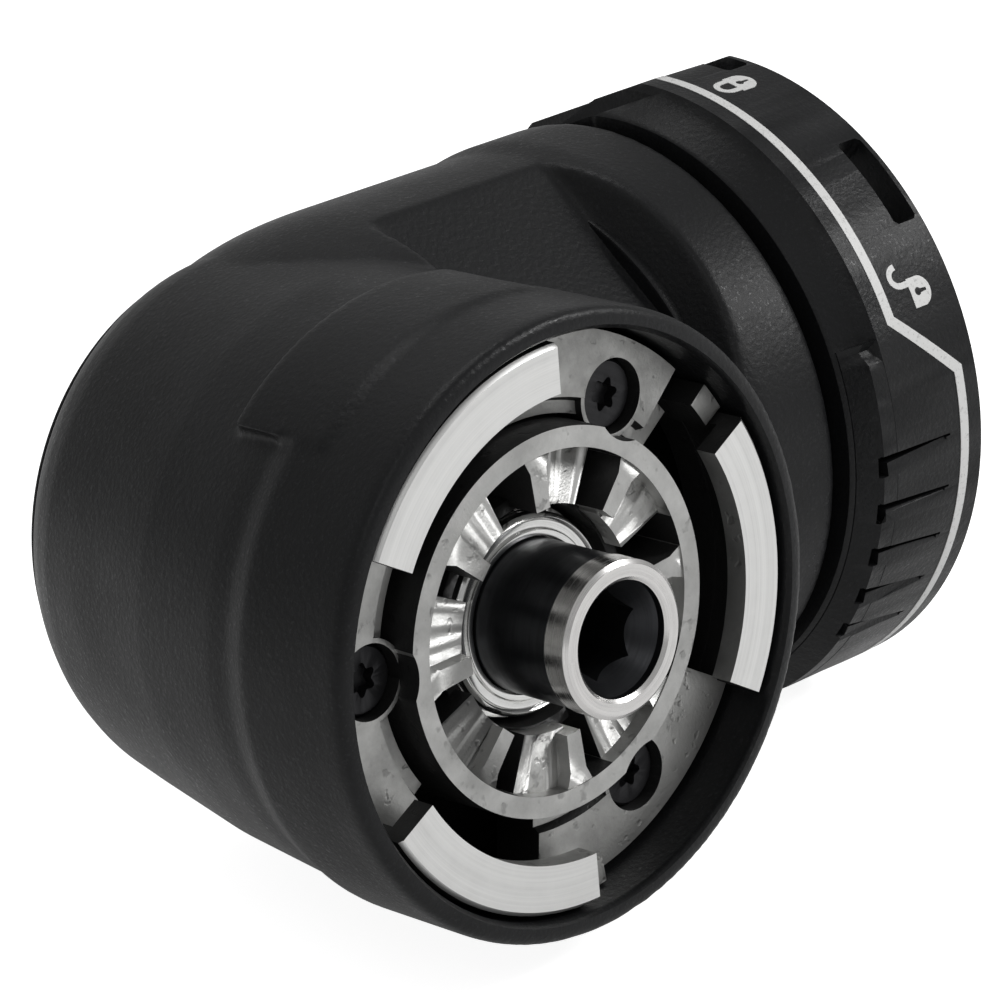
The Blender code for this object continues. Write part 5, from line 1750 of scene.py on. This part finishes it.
@dataclass
class InputEnd:
    """What the driving tool meets: seat flange, six-sided shaft, bayonet claws and screws."""

    disc: float = 15.6
    disc_back: float = 49.8
    disc_front: float = 53.6
    spigot: float = 10.75
    spigot_start: float = 39.4
    recess: float = 7.2
    recess_floor: float = 45.6
    shaft_hole: float = 4.5
    dog_inner: float = 9.6
    dog_outer: float = 12.6
    dog_half: float = 7.0
    dog_height: float = 1.9
    screw_circle: float = 13.0
    screw_head: float = 1.9
    screw_height: float = 1.1
    screw_sink: float = 0.2
    shaft: float = 4.0
    shaft_start: float = 8.6
    shoulder: float = 46.4
    hex_end: float = 55.6
    hex_nose: float = 1.4
    plate_start: float = 50.0
    plate_end: float = 51.4
    plate_inner: float = 16.0
    plate_outer: float = 23.6
    claw_angles: tuple[float, ...] = (60.0, 180.0, 300.0)
    claw_half: float = 20.0
    claw_web: float = 18.1
    claw_wall: float = 1.5
    claw_hook: float = 21.8
    claw_end: float = 55.6
    claw_thickness: float = 1.4

    def flange(self) -> Piece:
        """The seat flange with its nose recess, four dogs and four screws."""
        profile = [
            (self.recess, self.disc_front),
            (self.disc, self.disc_front),
            (self.disc, self.disc_back),
            (self.spigot, self.disc_back),
            (self.spigot, self.spigot_start),
            (self.shaft_hole + 2.15, self.spigot_start),
            (self.shaft_hole, self.recess_floor - 1.8),
            (self.shaft_hole, self.recess_floor),
            (self.recess, self.recess_floor),
        ]
        piece = turned("input_flange_looks", profile, 128)
        dog = [
            (self.dog_inner, self.disc_front + self.dog_height),
            (self.dog_outer, self.disc_front + self.dog_height),
            (self.dog_outer, self.disc_front - 0.5),
            (self.dog_inner, self.disc_front - 0.5),
        ]
        for angle in spaced(45.0, 4):
            combine(piece, Operation.JOIN, swept("dog", dog, angle - self.dog_half, angle + self.dog_half, 8))
        top = self.disc_front - self.screw_sink
        places = [(*polar(self.screw_circle, angle), top) for angle in spaced(0.0, 4)]
        hole = rod_profile(self.screw_head + 0.2, top - self.screw_height - 0.2, PAST_ALL)
        for place in places:
            combine(piece, Operation.CUT, turned("hole", hole, 48, place[:2]))
        bevelled(piece, 0.18)
        shaded(piece)
        dress(piece, INPUT_CASTING, INPUT_MACHINED)
        front = (self.disc_front - 0.05) * MM
        dress_faces(piece, 1, lambda face: face.center.z > front and face.normal.z > 0.9)
        screw = LobedScrew(
            head_r=self.screw_head,
            head_h=self.screw_height,
            shank_r=1.0,
            length=9.0,
            socket_r=0.85,
            socket_depth=0.7,
        )
        screw.spread_out([f"input_flange_screw_{i}" for i in range(1, 5)], places, Axis.INPUT)
        return install(piece, Axis.INPUT, Body.HOUSING, INPUT_CASTING, "input_flange")

    def drive_shaft(self) -> Piece:
        """The shaft with its six-sided end."""
        profile = [
            (0.0, self.shoulder),
            (self.shaft - 0.3, self.shoulder),
            (self.shaft, self.shoulder - 0.3),
            (self.shaft, self.shaft_start),
            (0.0, self.shaft_start),
        ]
        piece = turned("input_shaft_looks", profile, 64)
        end = extruded("end", hexagon(), self.shoulder - 0.5, self.hex_end)
        reach = HEX_CORNER + 0.4
        past_end = self.hex_end + 0.1
        nose = [
            (0.0, 0.0),
            (reach, 0.0),
            (reach, self.hex_end - self.hex_nose),
            (reach - 1.3, past_end),
            (0.0, past_end),
        ]
        combine(end, Operation.KEEP, turned("nose", nose, 64))
        combine(piece, Operation.JOIN, end)
        bevelled(piece, 0.1)
        shaded(piece)
        dress(piece, INPUT_STEEL)
        return install(piece, Axis.INPUT, Body.INPUT_TRAIN, INPUT_STEEL, "input_shaft")

    def bayonet(self) -> Piece:
        """The steel ring inside the lock ring, with three hooked claws."""
        plate = ring_profile(self.plate_inner, self.plate_outer, self.plate_start, self.plate_end)
        piece = turned("bayonet_ring_looks", plate, 160)
        hook = self.claw_end - self.claw_thickness
        inner = self.claw_web - self.claw_wall
        profile = [
            (inner, self.claw_end),
            (self.claw_hook, self.claw_end),
            (self.claw_hook, hook),
            (self.claw_web, hook),
            (self.claw_web, self.plate_end - 0.5),
            (inner, self.plate_end - 0.5),
        ]
        for angle in self.claw_angles:
            claw = swept("claw", profile, angle - self.claw_half, angle + self.claw_half, 24)
            combine(piece, Operation.JOIN, claw)
        bevelled(piece, 0.2)
        shaded(piece)
        dress(piece, CLAW_STEEL)
        return install(piece, Axis.INPUT, Body.LOCK_RING, CLAW_STEEL, "bayonet_ring")

    def build(self) -> None:
        """All the pieces of the input end."""
        self.flange()
        self.drive_shaft()
        self.bayonet()


@dataclass
class BackCover:
    """The round cover of the drum with its four screws."""

    centre: float = 5.0
    edge: float = -11.3
    edge_radius: float = 20.6
    back: float = -12.6
    back_radius: float = 19.3
    dish: float = 0.7
    dish_radius: float = 13.2
    spigot: float = 14.5
    boss: float = 8.0
    boss_front: float = -7.3
    bush_seat: float = 6.45
    bush_floor: float = 1.6
    screw_circle: float = 17.4
    screw_head: float = 2.1
    screw_sink: float = 0.15

    def build(self) -> Piece:
        """The cover, with a shallow round dish in its back."""
        profile = [
            (0.0, self.back + self.dish),
            (self.dish_radius - 0.7, self.back + self.dish),
            (self.dish_radius, self.back),
            (self.back_radius - 0.9, self.back),
            (self.back_radius, self.back + 0.25),
            (self.edge_radius, self.edge - 0.25),
            (self.edge_radius, self.edge),
            (self.spigot, self.edge),
            (self.spigot, self.edge + 1.6),
            (0.0, self.edge + 1.6),
        ]
        piece = turned("back_cover_looks", profile, 160, (self.centre, 0.0))
        boss = turned("boss", rod_profile(self.boss, self.boss_front, self.edge), 96)
        combine(piece, Operation.JOIN, boss)
        seat = turned("seat", rod_profile(self.bush_seat, 0.0, self.back + self.bush_floor), 96)
        combine(piece, Operation.CUT, seat)
        screw = LobedScrew(
            head_r=self.screw_head, head_h=1.0, shank_r=1.0, length=6.4, socket_r=0.95, socket_depth=0.7
        )
        top = self.back + self.screw_sink
        places = []
        for angle in spaced(45.0, 4):
            x, y = polar(self.screw_circle, angle)
            places.append((x + self.centre, y, top))
        hole = rod_profile(self.screw_head + 0.2, top + screw.head_h + 0.1, -PAST_ALL)
        for place in places:
            combine(piece, Operation.CUT, turned("hole", hole, 48, place[:2]))
        bevelled(piece, 0.15)
        shaded(piece)
        dress(piece, NYLON)
        screw.spread_out([f"cover_screw_{i}" for i in range(1, 5)], places, Axis.OUTPUT, flip=True)
        return install(piece, Axis.OUTPUT, Body.HOUSING, NYLON, "back_cover")


@dataclass
class ViewPoint:
    """The camera of the photograph.

    Attributes:
        place: Where it stands, in millimetres from the crossing of the axes.
        right: Direction of the picture's right.
        up: Direction of the picture's top.
        back: Direction from the object to the camera.
        lens: Focal length, in millimetres.
        sensor: Width of the sensor, in millimetres.
    """

    place: Point3 = (-244.77, -297.58, 133.2)
    right: Point3 = (0.71618, -0.69207, -0.09012)
    up: Point3 = (0.28661, 0.17391, 0.94213)
    back: Point3 = (-0.63635, -0.70057, 0.32291)
    lens: float = 180.0
    sensor: float = 36.0

    def build(self) -> bpy.types.Object:
        """Make the camera the scene's camera."""
        data = bpy.data.cameras.new("photo_camera")
        data.lens = self.lens
        data.sensor_width = self.sensor
        data.clip_start = 0.01
        data.clip_end = 10.0
        camera = bpy.data.objects.new("photo_camera", data)
        bpy.context.scene.collection.objects.link(camera)
        turn_matrix = Matrix((self.right, self.up, self.back)).transposed().to_4x4()
        camera.matrix_world = Matrix.Translation(CROSSING + Vector(self.place) * MM) @ turn_matrix
        bpy.context.scene.camera = camera
        return camera


@dataclass(frozen=True)
class SoftBox:
    """A studio lamp.

    Attributes:
        name: The lamp's name.
        place: Where it stands, in metres from the crossing of the axes.
        size: Width and height, in metres.
        power: Power in watts.
    """

    name: str
    place: Point3
    size: Point2
    power: float

    def build(self) -> bpy.types.Object:
        """Make the lamp, facing the object."""
        data = bpy.data.lights.new(self.name, "AREA")
        data.shape = "RECTANGLE"
        data.size, data.size_y = self.size
        data.energy = self.power
        lamp = bpy.data.objects.new(self.name, data)
        bpy.context.scene.collection.objects.link(lamp)
        lamp.location = CROSSING + Vector(self.place)
        lamp.rotation_euler = Vector(self.place).to_track_quat("Z", "Y").to_euler()
        return lamp


@dataclass
class Studio:
    """Floor, world and lamps."""

    floor_size: float = 6.0
    floor_colour: Point3 = (0.86, 0.86, 0.86)
    floor_roughness: float = 0.9
    floor_light: float = 0.9
    floor_in_mirror: float = 0.3
    backdrop_in_mirror: float = 0.4
    world_strength: float = 0.25
    lamps: tuple[SoftBox, ...] = (
        SoftBox("key", (-0.55, -0.55, 0.75), (0.5, 0.5), 0.8),
        SoftBox("top", (0.10, 0.30, 0.95), (0.5, 0.3), 1.2),
        SoftBox("side", (0.64, -0.56, 0.52), (0.25, 0.25), 4.0),
    )

    def floor(self) -> Piece:
        """A pale floor that shows white to the camera and keeps the shadow."""
        deselect_all()
        bpy.ops.mesh.primitive_plane_add(size=self.floor_size)
        piece = bpy.context.object
        piece.name = "studio_floor"
        material = bpy.data.materials.new("studio_floor")
        material.use_nodes = True
        made = NodeWriter(material.node_tree)
        shader = material.node_tree.nodes["Principled BSDF"]
        shader.inputs["Base Color"].default_value = (*self.floor_colour, 1.0)
        shader.inputs["Roughness"].default_value = self.floor_roughness
        path = made.add("ShaderNodeLightPath")
        seen = made.math("MULTIPLY", path.outputs["Is Camera Ray"], self.floor_light)
        mirrored = made.math("MULTIPLY", path.outputs["Is Glossy Ray"], self.floor_in_mirror)
        shader.inputs["Emission Color"].default_value = (1.0, 1.0, 1.0, 1.0)
        made.link(made.math("MAXIMUM", seen, mirrored), shader.inputs["Emission Strength"])
        piece.data.materials.append(material)
        return piece

    def world(self) -> None:
        """A white backdrop for the camera, a grey one for reflections, and a dim light on the object."""
        world = bpy.data.worlds.new("studio")
        bpy.context.scene.world = world
        world.use_nodes = True
        made = NodeWriter(world.node_tree)
        backdrop = world.node_tree.nodes["Background"]
        backdrop.inputs["Color"].default_value = (1.0, 1.0, 1.0, 1.0)
        path = made.add("ShaderNodeLightPath")
        mirror = made.math("MAXIMUM", path.outputs["Is Glossy Ray"], path.outputs["Is Transmission Ray"])
        unseen = made.spread(mirror, 0.0, 1.0, self.world_strength, self.backdrop_in_mirror)
        strength = made.spread(path.outputs["Is Camera Ray"], 0.0, 1.0, unseen, 1.0)
        made.link(strength, backdrop.inputs["Strength"])

    def build(self) -> None:
        """Set up floor, world and lamps."""
        self.floor()
        self.world()
        for lamp in self.lamps:
            lamp.build()
        bpy.context.scene.view_settings.view_transform = "Standard"


def corners(bounds: Sequence[Sequence[float]]) -> list[list[float]]:
    """A box as plain lists of numbers."""
    return [[float(value) for value in corner] for corner in bounds]


def dress_inner_nodes(nodes: dict[str, Piece]) -> None:
    """Give the solids inside the housing their finishes."""
    finishes: dict[str, Finish] = {
        "crown_gear": GEAR_STEEL,
        "bevel_pinion": GEAR_STEEL,
        "gear_spacer": GEAR_STEEL,
        "output_bearing_outer_race": BARE_STEEL,
        "output_bearing_inner_race": BARE_STEEL,
        "output_bearing_ball_cage": BARE_STEEL,
        "input_bearing_outer_race": BARE_STEEL,
        "input_bearing_inner_race": BARE_STEEL,
        "input_bearing_ball_cage": BARE_STEEL,
        "output_bearing_circlip": SPRING_STEEL,
        "crown_gear_circlip": SPRING_STEEL,
        "lock_ring_retaining_ring": SPRING_STEEL,
        "wave_spring": SPRING_STEEL,
        "bearing_shim": SPRING_STEEL,
        "pinion_thrust_washer": SPRING_STEEL,
        "rear_bush": BRONZE,
        "input_bush": BRONZE,
        "bit_magnet": MAGNET,
        "input_seal": SEAL_RUBBER,
    }
    for name, finish in finishes.items():
        dress(nodes[name], finish)
        LOG.info("%s is finished as %s", name, finish.name)


def build_groups() -> None:
    """Make the node groups that the finishes share."""
    build_moulded_grain()
    build_cast_mottle()
    build_turned_lines()


def main() -> None:
    """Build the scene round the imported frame."""
    logging.basicConfig(level=logging.INFO, format="%(name)s: %(message)s")
    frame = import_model()
    build_groups()
    ViewPoint().build()
    Studio().build()
    dress_inner_nodes(frame["nodes"])
    housing = Housing()
    housing.build()
    housing.sleeve()
    OutputFlange().build()
    BearingCarrier().build()
    spindle = Spindle()
    spindle.build()
    spindle.collar()
    spindle.clip()
    ring = LockRing()
    ring.build()
    ring.print_signs()
    InputEnd().build()
    BackCover().build()


if __name__ == "__main__":
    main()
